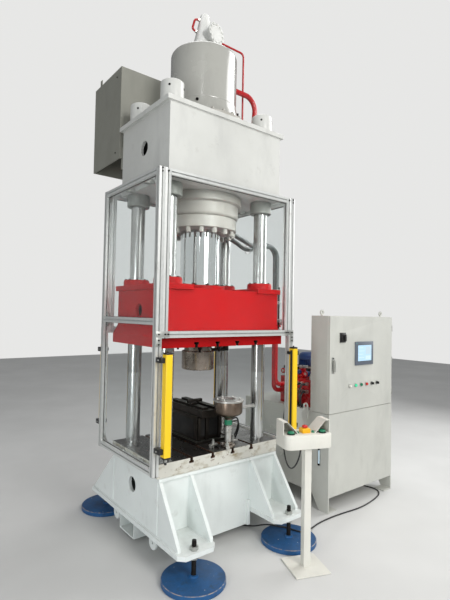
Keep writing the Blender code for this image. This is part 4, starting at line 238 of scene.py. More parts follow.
frame_white = painted("frame_white", (222, 228, 226), 0.38, (140, 134, 122), 0.28)
crown_grey = painted("crown_grey", (194, 195, 191), 0.3, (134, 130, 120), 0.3, coat=0.25)
# Column collars just under the crown: a darker copy of the grey paint, as painted shade from the crown above
collar_shaded_grey = painted("collar_shaded_grey", (126, 128, 123), 0.4, (96, 92, 84), 0.3)
# Main cylinder and gland ring: a darker grey than the crown, partly the cylinder's own paint and partly painted
# shade from the crown above
cylinder_shaded_grey = painted("cylinder_shaded_grey", (158, 156, 149), 0.34, (120, 114, 104), 0.35, coat=0.15)
# A darker grey than the crown's, for the service box
service_grey = painted("service_grey", (128, 128, 119), 0.42, (120, 116, 104), 0.25)
tank_grey = painted("tank_grey", (158, 158, 153), 0.16, (134, 130, 120), 0.18, coat=0.9)
slide_red = painted("slide_red", (156, 2, 6), 0.36, (106, 6, 10), 0.35)
slide_red.set("Specular IOR Level", 0.15)
line_red = painted("line_red", (168, 12, 18), 0.22, (90, 12, 14), 0.35, coat=0.5)
cabinet_beige = painted("cabinet_beige", (190, 191, 185), 0.5, (150, 146, 130), 0.16, peel=0.0002)
console_cream = painted("console_cream", (216, 215, 207), 0.42, (176, 170, 154), 0.2)
pump_blue = painted("pump_blue", (28, 62, 118), 0.35, (30, 32, 38), 0.4, coat=0.2)
curtain_paint = painted("curtain_paint", (238, 196, 22), 0.38, (150, 108, 20), 0.25)
palm_plastic = moulded("palm_plastic", (20, 118, 84), 0.34, 0.5)
stop_plastic = moulded("stop_plastic", (196, 40, 34), 0.3, 0.45)
stop_yellow = moulded("stop_yellow", (236, 176, 12), 0.36, 0.5, 90)

# Steel lines that are red below the middle of the guard
line_grey = painted("return_grey", (104, 109, 107), 0.26, (70, 66, 60), 0.4, coat=0.4)
line_grey.layer(line_grey.window(line_grey.height_above_floor(), 1.66, 1.6), (176, 22, 28))

# Levelling pads: chipped blue with drops of white paint, and a worn rim whose light patches also paint the highlight
# along its edge
pad_paint = painted("pad_blue", (24, 82, 134), 0.42, (30, 44, 60), 0.55)
pad_paint.stain((38, 52, 68), 16, 8, 0.56, 0.66, 0, 0.6, rough=0.75)
pad_paint.layer(pad_paint.window(pad_paint.texture("ShaderNodeTexVoronoi", "Distance", Scale=13), 0.055, 0.035),
                (214, 214, 204))
pad_paint.stain((196, 190, 176), 60, 5, 0.7, 0.73)
# Light patches round the top rim: bare worn paint, and a painted highlight on the edge
rim = pad_paint.math("MULTIPLY", pad_paint.window(pad_paint.height_above_floor(), 0.03, 0.0325),
                     pad_paint.window(pad_paint.height_above_floor(), 0.0345, 0.0335))
pad_paint.layer(pad_paint.math("MULTIPLY", rim, pad_paint.patches(40, 5, 0.38, 0.6)), (168, 152, 132))

# Ground columns with fine rings, darker above a line about 1.23 m up
column_ground = Surface("column_ground", (204, 206, 205), 0.19, 0.92)
column_ground.stain((176, 177, 176), 40, 3, 0.35, 0.7, 0, 0.25, (1, 1, 9))
column_ground.stain((140, 134, 126), 6, 5, 0.5, 0.8, 0, 0.35, (1, 1, 0.4))
column_ground.layer(column_ground.window(column_ground.height_above_floor(), 1.225, 1.232, 0, 0.35), (112, 106, 100))
column_ground.dull(0.27, 9, 3, 0.4, 0.7, stretch=(1, 1, 0.5))

ram_chrome = Surface("ram_chrome", (214, 216, 216), 0.06, 1.0).dull(0.16, 8, 5, 0.45, 0.8, stretch=(1, 1, 4))
ram_chrome.relief(ram_chrome.clouds(30, 3, (1, 1, 0.15)), 0.00002)
die_steel = cut_steel("die_steel", (158, 148, 138), 0.17, (9, 9, 0.4), (62, 50, 42), 0.62)
cup_steel = cut_steel("cup_steel", (128, 114, 102), 0.26, (9, 9, 0.5), (74, 50, 38), 0.7)
table_steel = cut_steel("table_steel", (58, 53, 49), 0.34, (3, 3, 3), (26, 22, 20), 0.7, 0.0001)
table_steel.layer(table_steel.upward(), (108, 111, 104))
dark_steel = cut_steel("dark_steel", (56, 52, 48), 0.42, (3, 3, 3), (26, 24, 22), 0.8, 0.0001)
bright_steel = cut_steel("bright_steel", (212, 212, 208), 0.25, (2, 2, 8), (110, 104, 92), 0.35)
zinc = cut_steel("zinc", (196, 198, 194), 0.36, (4, 4, 4), (120, 116, 104), 0.4)
black_oxide = cut_steel("black_oxide", (42, 40, 39), 0.45, (5, 5, 5), (26, 24, 22), 0.5)

# Bolster: machined top with dark oil, rust in the slots; the painted sides are cream and stained
bolster_face = cut_steel("bolster_steel", (104, 103, 100), 0.22, (2.5, 24, 1), (52, 46, 40), 0.75)
sides = bolster_face.math("SUBTRACT", 1.0, bolster_face.upward())
bolster_face.layer(sides, (206, 205, 196))
for colour, patch in (((146, 134, 106), bolster_face.patches(10, 7, 0.52, 0.7, stretch=(1, 1, 2))),
                      ((104, 84, 60), bolster_face.patches(34, 6, 0.62, 0.7, 0, 0.8))):
    bolster_face.layer(bolster_face.math("MULTIPLY", sides, patch), colour)
bolster_face.roughen(sides, 0.5)
bolster_face.feed(bolster_face.shader.inputs["Metallic"], bolster_face.math("MULTIPLY", bolster_face.upward(), 0.9))
slot_rust = Surface("slot_rust", (58, 42, 32), 0.8)
slot_rust.stain((112, 70, 40), 60, 6, 0.45, 0.65).stain((24, 20, 18), 24, 6, 0.5, 0.75)
slot_rust.relief(slot_rust.clouds(180, 5), 0.0006)

aluminium = Surface("drawn_aluminium", (214, 216, 214), 0.34, 0.45)
aluminium.stain((192, 194, 192), 40, 3, 0.4, 0.75, 0, 0.4).stain((120, 112, 100), 8, 6, 0.62, 0.74, 0, 0.35)
aluminium.dull(0.42, 22, 4, 0.35, 0.7).relief(aluminium.clouds(260, 2), 0.00003)
# Dark strips where the panes enter their bars: the seal, and painted shade inside the grooves
groove_seal_and_shadow = Surface("groove_seal_and_shadow", (30, 22, 22), 0.7).stain((62, 40, 38), 70, 4, 0.45, 0.7)
clear = Surface("pane_plastic", (240, 243, 243), 0.03, Transmission_Weight=1.0, IOR=1.2)
clear.dull(0.07, 6, 6, 0.55, 0.85, stretch=(3, 3, 1))
black_plastic = Surface("black_plastic", (28, 28, 30), 0.42).stain((44, 43, 42), 30, 4, 0.45, 0.75)
black_plastic.relief(black_plastic.clouds(900, 2), 0.00004)
rubber = Surface("rubber", (26, 26, 27), 0.55).stain((52, 50, 48), 24, 5, 0.45, 0.75)
rubber.relief(rubber.clouds(500, 2), 0.00006)
shadow_inside = Surface("shadow_inside", (22, 22, 22), 0.9).stain((34, 33, 32), 20, 4, 0.4, 0.7)
screen_glow = glowing("screen_glow", (176, 208, 232), 0.25, 0.12)
screen_mark = glowing("screen_mark", (196, 218, 234), 0.25, 0.12)
# Pale blue glow for the touch panel's fields, also on the level gauge's sight tube as a painted sheen
screen_and_gauge_glow = glowing("screen_and_gauge_glow", (184, 204, 216), 0.22, 0.12)
lamp_green = glowing("lamp_green", (64, 200, 148), 0.35, 0.2)
lamp_white = glowing("lamp_white", (232, 230, 222), 0.05, 0.25)
bezel_grey = Surface("bezel_grey", (92, 100, 112), 0.45)
bezel_grey.relief(bezel_grey.clouds(600, 2), 0.00005)


# Shapes

SMOOTH_ANGLE, BEVEL_ANGLE = math.radians(35), math.radians(38)
MERGE = 0.00002


def settle(made, body, replaces):
    """Put a finished piece in the scene, on the body that it rides on."""
    scene.collection.objects.link(made)
    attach(made, body)
    if replaces:
        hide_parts(*replaces)
    return made


def wrap(name, bm, surfaces, body, replaces, edge=0.0):
    """Make a bmesh an object; edge rounds its sharp edges."""
    mesh = bpy.data.meshes.new(name)
    bm.to_mesh(mesh)
    bm.free()
    for surface in surfaces if isinstance(surfaces, list) else [surfaces]:
        mesh.materials.append(surface.material)
    mesh.shade_smooth()
    mesh.set_sharp_from_angle(angle=SMOOTH_ANGLE)
    made = bpy.data.objects.new(name, mesh)
    if edge:
        rounding = made.modifiers.new("edges", "BEVEL")
        rounding.width = edge
        rounding.segments = 2
        rounding.limit_method = "ANGLE"
        rounding.angle_limit = BEVEL_ANGLE
        rounding.harden_normals = True
    settle(made, body, replaces)


def finish_piece(name, bm, surfaces, body=REST, replaces=()):
    """Make one piece of shapes that are given from the press's centre line."""
    bmesh.ops.recalc_face_normals(bm, faces=bm.faces)
    bmesh.ops.translate(bm, verts=bm.verts, vec=HOME)
    wrap(name, bm, surfaces, body, replaces)


def refine(node, surfaces, edge, body=REST, paint=None):
    """A copy of a CAD node with whole faces and softened edges, which stands for the node."""
    bm = bmesh.new()
    bm.from_mesh(nodes[node].data)
    bmesh.ops.remove_doubles(bm, verts=bm.verts, dist=MERGE)
    bmesh.ops.dissolve_limit(bm, angle_limit=math.radians(1.5), verts=bm.verts, edges=bm.edges)
    for face in bm.faces:
        face.material_index = int(bool(paint) and paint(face.calc_center_median() - HOME, face))
    wrap(f"{node}_body", bm, surfaces, body, (node,), edge=edge)


def added(bm, before):
    """The vertices that a bmesh has beyond the set before."""
    return [vert for vert in bm.verts if vert not in before]


def paint_new(verts, index):
    for vert in verts:
        for face in vert.link_faces:
            face.material_index = index


def slab(bm, corner, far, index=0, edge=0.0):
    """Box between two opposite corners."""
    low, high = (Vector([pick(pair) for pair in zip(corner, far)]) for pick in (min, max))
    verts = bmesh.ops.create_cube(bm, size=1)["verts"]
    bmesh.ops.scale(bm, verts=verts, vec=high - low)
    bmesh.ops.translate(bm, verts=verts, vec=(low + high) / 2)
    paint_new(verts, index)
    if edge:
        rims = {e for v in verts for e in v.link_edges}
        bmesh.ops.bevel(bm, geom=list(rims), offset=edge, offset_type="OFFSET", segments=2, profile=0.5,
                        affect="EDGES", material=-1)


def block(bm, middle, half, index=0, edge=0.0):
    """Box from its middle and its half sizes."""
    middle, half = Vector(middle), Vector(half)
    slab(bm, middle - half, middle + half, index, edge)


def placed_slab(bm, place, corner, far, index=0, edge=0.0):
    """Box given in the axes of a place."""
    before = set(bm.verts)
    slab(bm, corner, far, index, edge)
    bmesh.ops.transform(bm, matrix=place, verts=added(bm, before))


def aim(direction):
    return UP.rotation_difference(Vector(direction).normalized()).to_matrix().to_4x4()


def rod(bm, start, end, radius, index=0, sides=24, end_radius=None):
    start, end = Vector(start), Vector(end)
    run = end - start
    made = bmesh.ops.create_cone(bm, cap_ends=True, segments=sides, radius1=radius,
                                 radius2=radius if end_radius is None else end_radius, depth=run.length,
                                 matrix=Matrix.Translation((start + end) / 2) @ aim(run))
    paint_new(made["verts"], index)


def lathe(bm, profile, base=(0, 0, 0), direction=UP, steps=96, index=0, closed=False):
    """Spin (radius, height) points round an axis that starts at base."""
    before = set(bm.verts)
    verts = [bm.verts.new((radius, 0, height)) for radius, height in profile]
    edges = [bm.edges.new(pair) for pair in zip(verts, verts[1:])]
    if closed:
        edges.append(bm.edges.new((verts[-1], verts[0])))
    bmesh.ops.spin(bm, geom=verts + edges, cent=(0, 0, 0), axis=UP, angle=2 * math.pi, steps=steps, use_merge=True)
    bmesh.ops.remove_doubles(bm, verts=added(bm, before), dist=MERGE)
    fresh = added(bm, before)
    bmesh.ops.transform(bm, matrix=Matrix.Translation(base) @ aim(direction), verts=fresh)
    paint_new(fresh, index)


def prism(bm, outline, depth, place, index=0):
    """Extrude a flat outline by depth and set it with a matrix."""
    face = bm.faces.new([bm.verts.new((across, up, 0)) for across, up in outline])
    grown = bmesh.ops.extrude_face_region(bm, geom=[face])
    top = [item for item in grown["geom"] if isinstance(item, bmesh.types.BMVert)]
    bmesh.ops.translate(bm, verts=top, vec=(0, 0, depth))
    fresh = [*top, *face.verts]
    bmesh.ops.transform(bm, matrix=place, verts=fresh)
    paint_new(fresh, index)


def bolt(bm, seat, direction, size, index=0, washer=True):
    """Hexagon head; size is the thread's diameter."""
    way, seat = Vector(direction).normalized(), Vector(seat)
    if washer:
        rod(bm, seat, seat + way * size * 0.18, size * 1.05, index, 20)
        seat = seat + way * size * 0.16
    rod(bm, seat, seat + way * size * 0.7, size * 0.92, index, 6)
    rod(bm, seat + way * size * 0.66, seat + way * size * 0.74, size * 0.78, index, 20, size * 0.7)


def cap_screw(bm, seat, direction, size, index=0, washer=False):
    """Round head with a socket; size is the thread's diameter."""
    way, seat = Vector(direction).normalized(), Vector(seat)
    if washer:
        rod(bm, seat, seat + way * size * 0.18, size * 1.05, index, 20)
        seat = seat + way * size * 0.16
    lathe(bm, [(0, size), (size * 0.72, size), (size * 0.78, size * 0.9), (size * 0.78, 0)], seat, way, 20, index)
    rod(bm, seat + way * size * 0.98, seat + way * size * 1.01, size * 0.42, index, 6)


def ring_of(count, radius, phase=0.5):
    turns = [2 * math.pi * (step + phase) / count for step in range(count)]
    return [(radius * math.cos(turn), radius * math.sin(turn)) for turn in turns]


def pipe(name, points, radius, surface, replaces=(), sides=6):
    """A round pipe or cable as a curve along a run of points."""
    drawing = bpy.data.curves.new(name, "CURVE")
    drawing.dimensions = "3D"
    drawing.bevel_depth = radius
    drawing.bevel_resolution = sides
    drawing.use_fill_caps = True
    spline = drawing.splines.new("POLY")
    spline.points.add(len(points) - 1)
    for point, place in zip(spline.points, points):
        point.co = (*(Vector(place) + HOME), 1)
    spline.use_smooth = True
    drawing.materials.append(surface.material)
    return settle(bpy.data.objects.new(name, drawing), REST, replaces)


def smooth_route(points, spacing):
    """Points along the smooth curve through a route's own points."""
    route = [Vector(point) for point in points]
    ends = [2 * route[0] - route[1], *route, 2 * route[-1] - route[-2]]
    result = [route[0]]
    for before, start, end, after in zip(ends, ends[1:], ends[2:], ends[3:]):
        steps = max(1, round((end - start).length / spacing))
        for step in range(1, steps + 1):
            share = step / steps
            result.append(0.5 * (2 * start + (end - before) * share
                                 + (2 * before - 5 * start + 4 * end - after) * share ** 2
                                 + (3 * start - before - 3 * end + after) * share ** 3))
    return result


def bent(corners, bend, steps=10):
    """Straight runs with a round bend at each inner corner."""
    corners = [Vector(corner) for corner in corners]
    route = [corners[0]]
    for before, corner, after in zip(corners, corners[1:], corners[2:]):
        back, ahead = (before - corner).normalized(), (after - corner).normalized()
        half = back.angle(ahead) / 2
        hub = corner + (back + ahead).normalized() * bend / math.sin(half)
        start = corner + back * bend / math.tan(half) - hub
        end = corner + ahead * bend / math.tan(half) - hub
        axis, angle = start.rotation_difference(end).to_axis_angle()
        route += [hub + Matrix.Rotation(angle * step / steps, 3, axis) @ start for step in range(steps + 1)]
    return [*route, corners[-1]]


def bead(bm, start, end, radius=0.0045):
    """A weld bead along a seam, a little uneven."""
    start, end = Vector(start), Vector(end)
    run = end - start
    steps = max(4, round(run.length / 0.02))
    ring = bmesh.ops.create_circle(bm, cap_ends=True, segments=8, radius=radius,
                                   matrix=Matrix.Translation(start) @ aim(run))["verts"]
    face = [ring[0].link_faces[0]]
    for step in range(1, steps + 1):
        grown = bmesh.ops.extrude_face_region(bm, geom=face)
        if face[0].is_valid and step > 1:
            bmesh.ops.delete(bm, geom=face, context="FACES_ONLY")
        verts = [item for item in grown["geom"] if isinstance(item, bmesh.types.BMVert)]
        face = [item for item in grown["geom"] if isinstance(item, bmesh.types.BMFace)]
        bmesh.ops.translate(bm, verts=verts, vec=run / steps)
        centre = start + run * step / steps
        swell = 1 + 0.22 * noise.noise(centre * 55)
        for factor in (swell, 1 / swell ** 0.5):
            bmesh.ops.scale(bm, verts=verts, vec=(factor,) * 3, space=Matrix.Translation(-centre))


# Sizes shared with the solids; a face that would lie in a solid's face is 0.3 mm off it

COLUMN_X, COLUMN_Y, COLUMN_R = 0.44, 0.24, 0.055
BED_X, BED_Y = 0.545, 0.345
BOLSTER_X, BOLSTER_TOP = 0.555, 0.68
FOOT_TOP, FOOT_IN = 0.2, 0.27
CROWN_X, CROWN_Y, CROWN_LOW, CROWN_HIGH = 0.53, 0.37, 2.6297, 3.2003
POST_X, POST_Y = 0.62, 0.421
GUARD_LOW, GUARD_HIGH = 0.638, 2.665
BAR = 0.045
SLOTS = tuple((index - 1.5) * 0.187 for index in range(4))
UNIT_LEFT, DOOR_FACE, TANK_TOP = 1.03, -0.513, 0.845
PORT_Z = 2.405


# Press frame

def dress_bed():
    refine("bed", frame_white, 0.0025)
    refine("foot_frame_left", frame_white, 0.003)
    refine("foot_frame_right", frame_white, 0.003)
    bm = bmesh.new()
    seam, top_seam = FOOT_TOP + 0.001, 0.559
    for side in SIDES:
        for rib in (BED_X - 0.0125, FOOT_IN + 0.0125):
            for x in (side * (rib - 0.0135), side * (rib + 0.0135)):
                for y, near, far in ((-BED_Y - 0.002, -0.37, -0.598), (BED_Y + 0.002, 0.37, 0.705)):
                    bead(bm, (x, y, 0.215), (x, y, 0.545))
                    bead(bm, (x, near, seam), (x, far, seam))
        outer = side * (BED_X + 0.001)
        bead(bm, (outer, -0.55, seam), (outer, 0.7, seam))
        bead(bm, (outer, -BED_Y + 0.001, 0.21), (outer, -BED_Y + 0.001, 0.555), 0.002)
        bead(bm, (side * 0.2, -BED_Y - 0.001, top_seam), (side * 0.24, -BED_Y - 0.001, top_seam), 0.004)
        bead(bm, (-0.5, side * (BED_Y + 0.001), top_seam), (0.5, side * (BED_Y + 0.001), top_seam))
    finish_piece("bed_welds", bm, frame_white)


def in_slot(middle, half):
    return any(abs(middle.x - slot) < half for slot in SLOTS)


def dress_bolster():
    refine("bolster", [bolster_face, slot_rust], 0.0018,
           paint=lambda middle, face: in_slot(middle, 0.021) and abs(middle.y) < 0.34
           and 0.64 < middle.z < BOLSTER_TOP - 0.001)
    bm = bmesh.new()
    for side in SIDES:
        for y in (-0.2, 0.2):
            lathe(bm, [(0.014, -0.02), (0.014, 0.002), (0.023, 0.004), (0.0245, 0.0), (0.0245, -0.004)],
                  (side * BOLSTER_X, y, 0.637), (side, 0, 0), 32)
    finish_piece("lifting_sockets", bm, bright_steel)

def dress_columns():
    for name, (sx, sy) in CORNERS.items():
        bm = bmesh.new()
        base = (sx * COLUMN_X, sy * COLUMN_Y, 0)
        r, collar, nut = COLUMN_R, 2.5347, CROWN_HIGH
        lathe(bm, [(0, 0.4), (r - 0.004, 0.4), (r, 0.404), (r, 0.4457), (0.074, 0.4457), (0.077, 0.4487),
                   (0.077, 0.5327), (0.074, 0.5357), (r, 0.5357), (r, collar)], base)
        lathe(bm, [(r, collar), (r - 0.002, collar), (r - 0.002, nut)], base)
        # Collars in the darker grey, which paints the shade under the crown
        lathe(bm, [(r, collar), (0.084, collar), (0.088, 2.5387), (0.088, 2.6257), (0.086, CROWN_LOW),
                   (r, CROWN_LOW)], base, index=1)
        lathe(bm, [(r, nut), (0.0855, nut), (0.086, 3.201), (0.086, 3.35), (0.084, 3.3555),
                   (0.078, 3.3603), (0.03, 3.3603), (0.03, 3.3583), (0, 3.3583)], base, index=2)
        for x, y in ring_of(4, 0.0862):
            start = Vector((base[0] + x, base[1] + y, 3.3103))
            way = Vector((x, y, 0)).normalized()
            rod(bm, start - way * 0.002, start + way * 0.0006, 0.0085, 3, 20)
        finish_piece(f"column_{name}_turned", bm, [column_ground, collar_shaded_grey, crown_grey, shadow_inside],
                     replaces=(f"column_{name}",))


def dress_slide():
    refine("slide", [slide_red, shadow_inside], 0.0022, SLIDE,
           paint=lambda middle, face: in_slot(middle, 0.0195) and 1.461 < middle.z < 1.4975
           and abs(middle.y) < 0.38 and face.calc_area() < 0.04)
    bm = bmesh.new()
    for sx, sy in CORNERS.values():
        centre = (sx * COLUMN_X, sy * COLUMN_Y, 1.938)
        lathe(bm, [(0.0565, 0.0), (0.0565, 0.012), (0.062, 0.014), (0.096, 0.014), (0.099, 0.011),
                   (0.099, 0.0)], centre, steps=72)
        for x, y in ring_of(8, 0.083):
            cap_screw(bm, (centre[0] + x, centre[1] + y, centre[2] + 0.013), UP, 0.01, 1)
    finish_piece("slide_bush_rings", bm, [slide_red, black_oxide], SLIDE)
    bm = bmesh.new()
    y = -0.331
    rod(bm, (0.583, y, 1.575), (0.583, y, 1.93), 0.006, 0, 24)
    rod(bm, (0.583, y, 1.565), (0.583, y, 1.585), 0.01, 1, 20)
    for z in (1.65, 1.8, 1.9):
        slab(bm, (0.5385, y - 0.016, z - 0.011), (0.592, y + 0.016, z + 0.011), 1, 0.0015)
        cap_screw(bm, (0.5605, y - 0.016, z), (0, -1, 0), 0.006, 2)
    finish_piece("position_scale", bm, [dark_steel, zinc, black_oxide], SLIDE)


def dress_crown():
    refine("crown", crown_grey, 0.003)
    bm = bmesh.new()
    weld = 3.1655
    bead(bm, (-CROWN_X + 0.004, -CROWN_Y - 0.001, weld), (CROWN_X - 0.004, -CROWN_Y - 0.001, weld))
    for side in SIDES:
        x = side * (CROWN_X + 0.001)
        bead(bm, (x, -CROWN_Y + 0.004, weld), (x, CROWN_Y - 0.004, weld))
    finish_piece("crown_welds", bm, crown_grey)
    refine("service_box", service_grey, 0.0025)
    bm = bmesh.new()
    for z in (3.02, 3.66):
        for x in (-0.5515, 0.5515):
            cap_screw(bm, (x, 0.47, z), (x, 0, 0), 0.006, 0)
    slab(bm, (-0.5475, 0.8, 3.725), (-0.5425, 0.84, 3.775), 1, 0.001)
    finish_piece("service_box_screws", bm, [black_oxide, service_grey])


def dress_cylinder():
    bm = bmesh.new()
    lathe(bm, [(0.2, 3.2403), (0.351, 3.2403), (0.355, 3.2363), (0.355, 3.2023), (0.353, CROWN_HIGH),
               (0.265, CROWN_HIGH), (0.265, CROWN_LOW), (0.325, CROWN_LOW), (0.328, 2.6267), (0.328, 2.566),
               (0.322, 2.56), (0.305, 2.556), (0.303, 2.551), (0.302, 2.545), (0.302, 2.476),
               (0.299, 2.466), (0.292, 2.457), (0.282, 2.452), (0.2, 2.452)], closed=True, steps=128)
    for x, y in ring_of(24, 0.337):
        cap_screw(bm, (x, y, 3.2403), UP, 0.015, 0, True)
    finish_piece("main_cylinder_turned", bm, cylinder_shaded_grey, replaces=("main_cylinder",))
    bm = bmesh.new()
    lathe(bm, [(0.1638, 2.4517), (0.286, 2.4517), (0.29, 2.4477), (0.29, 2.366), (0.284, 2.36),
               (0.1805, 2.36), (0.178, 2.3575), (0.1665, 2.3575), (0.1638, 2.36)], closed=True, steps=128)
    for x, y in ring_of(16, 0.262):
        lathe(bm, [(0.0195, 0), (0.0195, 0.036), (0.0165, 0.04), (0.009, 0.04), (0.009, 0.03), (0, 0.03)],
              (x, y, 2.36), (0, 0, -1), 28)
    for y in (0.02, 0.12):
        start = math.sqrt(0.29 ** 2 - (y + 0.034) ** 2) - 0.01
        rod(bm, (start, y, PORT_Z), (0.31, y, PORT_Z), 0.034, 0, 36)
    finish_piece("gland_ring_turned", bm, cylinder_shaded_grey, replaces=("gland_ring",))
    bm = bmesh.new()
    lathe(bm, [(0, 2.8), (0.197, 2.8), (0.199, 2.798), (0.199, 2.702), (0.197, 2.7), (0.163, 2.7),
               (0.163, 1.9203)], steps=160)
    lathe(bm, [(0.163, 1.9203), (0.202, 1.9203), (0.205, 1.9173), (0.205, 1.8803), (0, 1.8803)], steps=96,
          index=1)
    for x, y in ring_of(12, 0.186):
        cap_screw(bm, (x, y, 1.9203), UP, 0.012, 2)
    finish_piece("ram_turned", bm, [ram_chrome, slide_red, black_oxide], SLIDE, ("ram",))


def dome(radius, base, crest, steps=14):
    return [(radius * math.sin(math.pi / 2 * step / steps),
             base + (crest - base) * math.cos(math.pi / 2 * step / steps)) for step in range(steps + 1)]


def dress_tank():
    bm = bmesh.new()
    lathe(bm, [*dome(0.272, 3.785, 3.85), (0.272, 3.3706), (0.312, 3.2406), (0.304, 3.2406), (0.264, 3.3706),
               *reversed(dome(0.264, 3.785, 3.842))], steps=144)
    lathe(bm, [(0.2718, 3.376), (0.2742, 3.3735), (0.2745, 3.3705), (0.273, 3.366)], steps=120)
    finish_piece("prefill_tank_spun", bm, tank_grey, replaces=("prefill_tank",))
    bm = bmesh.new()
    for angle in (226, 316, 46, 136):
        way = Vector((math.cos(math.radians(angle)), math.sin(math.radians(angle)), 0))
        lathe(bm, [(0.011, -0.02), (0.011, 0.006), (0.008, 0.008), (0.008, 0.002), (0, 0.002)],
              way * 0.287 + Vector((0, 0, 3.335)), way, 24)
    finish_piece("skirt_plugs", bm, black_oxide)


def dress_valve():
    bm = bmesh.new()
    lathe(bm, [(0, 4.175), (0.0305, 4.175), (0.034, 4.1735), (0.039, 4.166), (0.1035, 3.88),
               (0.107, 3.8735), (0.119, 3.872), (0.122, 3.868), (0.122, 3.842), (0, 3.842)], steps=72)
    for x, y in ring_of(8, 0.1135):
        bolt(bm, (x, y, 3.8715), UP, 0.009, 1, False)
    turn = math.radians(11)
    way = Vector((math.sin(turn), -math.cos(turn), 0))
    middle = Vector((0, 0, 3.97))
    lathe(bm, [(0, 0), (0.07, 0), (0.07, 0.085), (0.08, 0.0895), (0.08, 0.092), (0, 0.092)],
          middle + way * 0.022, way, 60)
    notched = [0.085 + 0.0045 * math.cos(math.pi / 6 * step / 2) for step in range(144)]
    outline = [(r * math.cos(math.pi / 72 * step), r * math.sin(math.pi / 72 * step))
               for step, r in enumerate(notched)]
    place = (Matrix.Translation(middle + way * 0.1135) @ Matrix.Rotation(turn, 4, "Z")
             @ Matrix.Rotation(math.pi / 2, 4, "X"))
    prism(bm, outline, 0.024, place)
    for x, z in ring_of(12, 0.0735, 0):
        bolt(bm, place @ Vector((x, z, 0.0238)), way, 0.0095, 0, False)
    finish_piece("prefill_valve_cast", bm, [crown_grey, black_oxide], replaces=("prefill_valve",))


def dress_top_pipes():
    pilot, fill = 4.015, 3.62
    for name, route, bend, radius, sides in (
            ("pilot_pipe", [(0.0759, 0, pilot), (0.425, 0, pilot), (0.425, 0, CROWN_HIGH)], 0.034, 0.0085, 6),
            ("fill_pipe", [(0.268, -0.05, fill), (0.535, -0.05, fill), (0.5004, -0.05, 3.2012)], 0.11, 0.022, 8)):
        pipe(f"{name}_bent", bent(route, bend), radius, line_red, (name,), sides)
    route = [(-0.038, 0.012, 4.132), (-0.082, 0.026, 4.13), (-0.104, 0.032, 4.04), (-0.06, 0.019, 4.026)]
    pipe("drain_pipe", bent(route, 0.022), 0.009, line_red)
    bm = bmesh.new()
    rod(bm, (0.072, 0, pilot), (0.098, 0, pilot), 0.0135, 0, 6)
    rod(bm, (0.425, 0, CROWN_HIGH), (0.425, 0, 3.222), 0.0135, 0, 6)
    rod(bm, (0.266, -0.05, fill), (0.276, -0.05, fill), 0.035, 0, 36)
    rod(bm, (0.5009, -0.05, CROWN_HIGH), (0.5012, -0.05, 3.214), 0.036, 0, 36)
    for x, y in ring_of(4, 0.029):
        bolt(bm, (0.501 + x, -0.05 + y, 3.214), UP, 0.006, 0, False)
    rod(bm, (-0.04, 0.0126, 4.132), (-0.056, 0.0176, 4.1313), 0.0145, 1, 6)
    rod(bm, (-0.062, 0.0195, 4.0262), (-0.078, 0.0245, 4.0285), 0.0145, 1, 6)
    finish_piece("top_pipe_fittings", bm, [line_red, bright_steel])


def dress_mounts():
    places = {"front_left": (-0.431, -0.623), "front_right": (0.431, -0.623),
              "rear_left": (-0.431, 0.73), "rear_right": (0.431, 0.73)}
    for name, (x, y) in places.items():
        bm = bmesh.new()
        lathe(bm, [(0, 0), (0.204, 0), (0.207, 0.003), (0.207, 0.03), (0.2035, 0.034), (0.2, 0.035),
                   (0.032, 0.035), (0.029, 0.046), (0.0165, 0.047)], (x, y, 0), steps=128)
        thread = [(0.016 if step % 2 else 0.0142, 0.047 + step * 0.0038) for step in range(1, 55)]
        profile = [(0.0165, 0.047), *thread, (0.015, 0.26), (0.013, 0.262), (0, 0.262)]
        lathe(bm, profile, (x, y, 0), steps=24, index=1)
        for low, high in ((0.2003, 0.2243), (0.1457, 0.1697)):
            rod(bm, (x, y, low), (x, y, high), 0.028, 2, 6)
            rod(bm, (x, y, high - 0.001), (x, y, high + (0.0006 if high > 0.2 else 0)), 0.0235, 2, 24)
        finish_piece(f"levelling_mount_{name}_turned", bm, [pad_paint, black_oxide, zinc],
                     replaces=(f"levelling_mount_{name}",))


# Guard

def groove_outline(half=BAR / 2):
    """Section of a slotted building bar: rounded corners and undercut grooves."""
    lip, neck, wide, deep = 0.0042, half - 0.0022, 0.0085, half - 0.0125
    side = [(half, -lip), (neck, -lip), (neck, -wide), (deep + 0.004, -wide), (deep, -lip), (deep, lip),
            (deep + 0.004, wide), (neck, wide), (neck, lip), (half, lip), (half, half - 0.002),
            (half - 0.0006, half - 0.0006)]
    outline = []
    for turn in range(4):
        for across, up in side:
            for _ in range(turn):
                across, up = -up, across
            outline.append((across, up))
    return outline


def bar(bm, start, end):
    start, end = Vector(start), Vector(end)
    prism(bm, groove_outline(), (end - start).length, Matrix.Translation(start) @ aim(end - start))


def end_cap(bm, x, y, z):
    """Black plate on the end of a bar."""
    slab(bm, (x - 0.0215, y - 0.0215, z), (x + 0.0215, y + 0.0215, z + 0.003), 3, 0.001)


def corner_plate(bm, x, z, way, y, front):
    """Flat angle bracket with its screws, hung from a window frame's lower corner."""
    long, wide = 0.1, 0.038
    face = y + front * 0.004
    slab(bm, (x, y, z), (x + way * long, face, z - wide), 1, 0.001)
    slab(bm, (x, y, z - wide), (x + way * wide, face, z - long), 1, 0.001)
    for across, down in ((0.019, 0.019), (0.066, 0.019), (0.089, 0.019), (0.019, 0.058), (0.019, 0.086)):
        cap_screw(bm, (x + way * across, face, z - down), (0, front, 0), 0.007, 2)


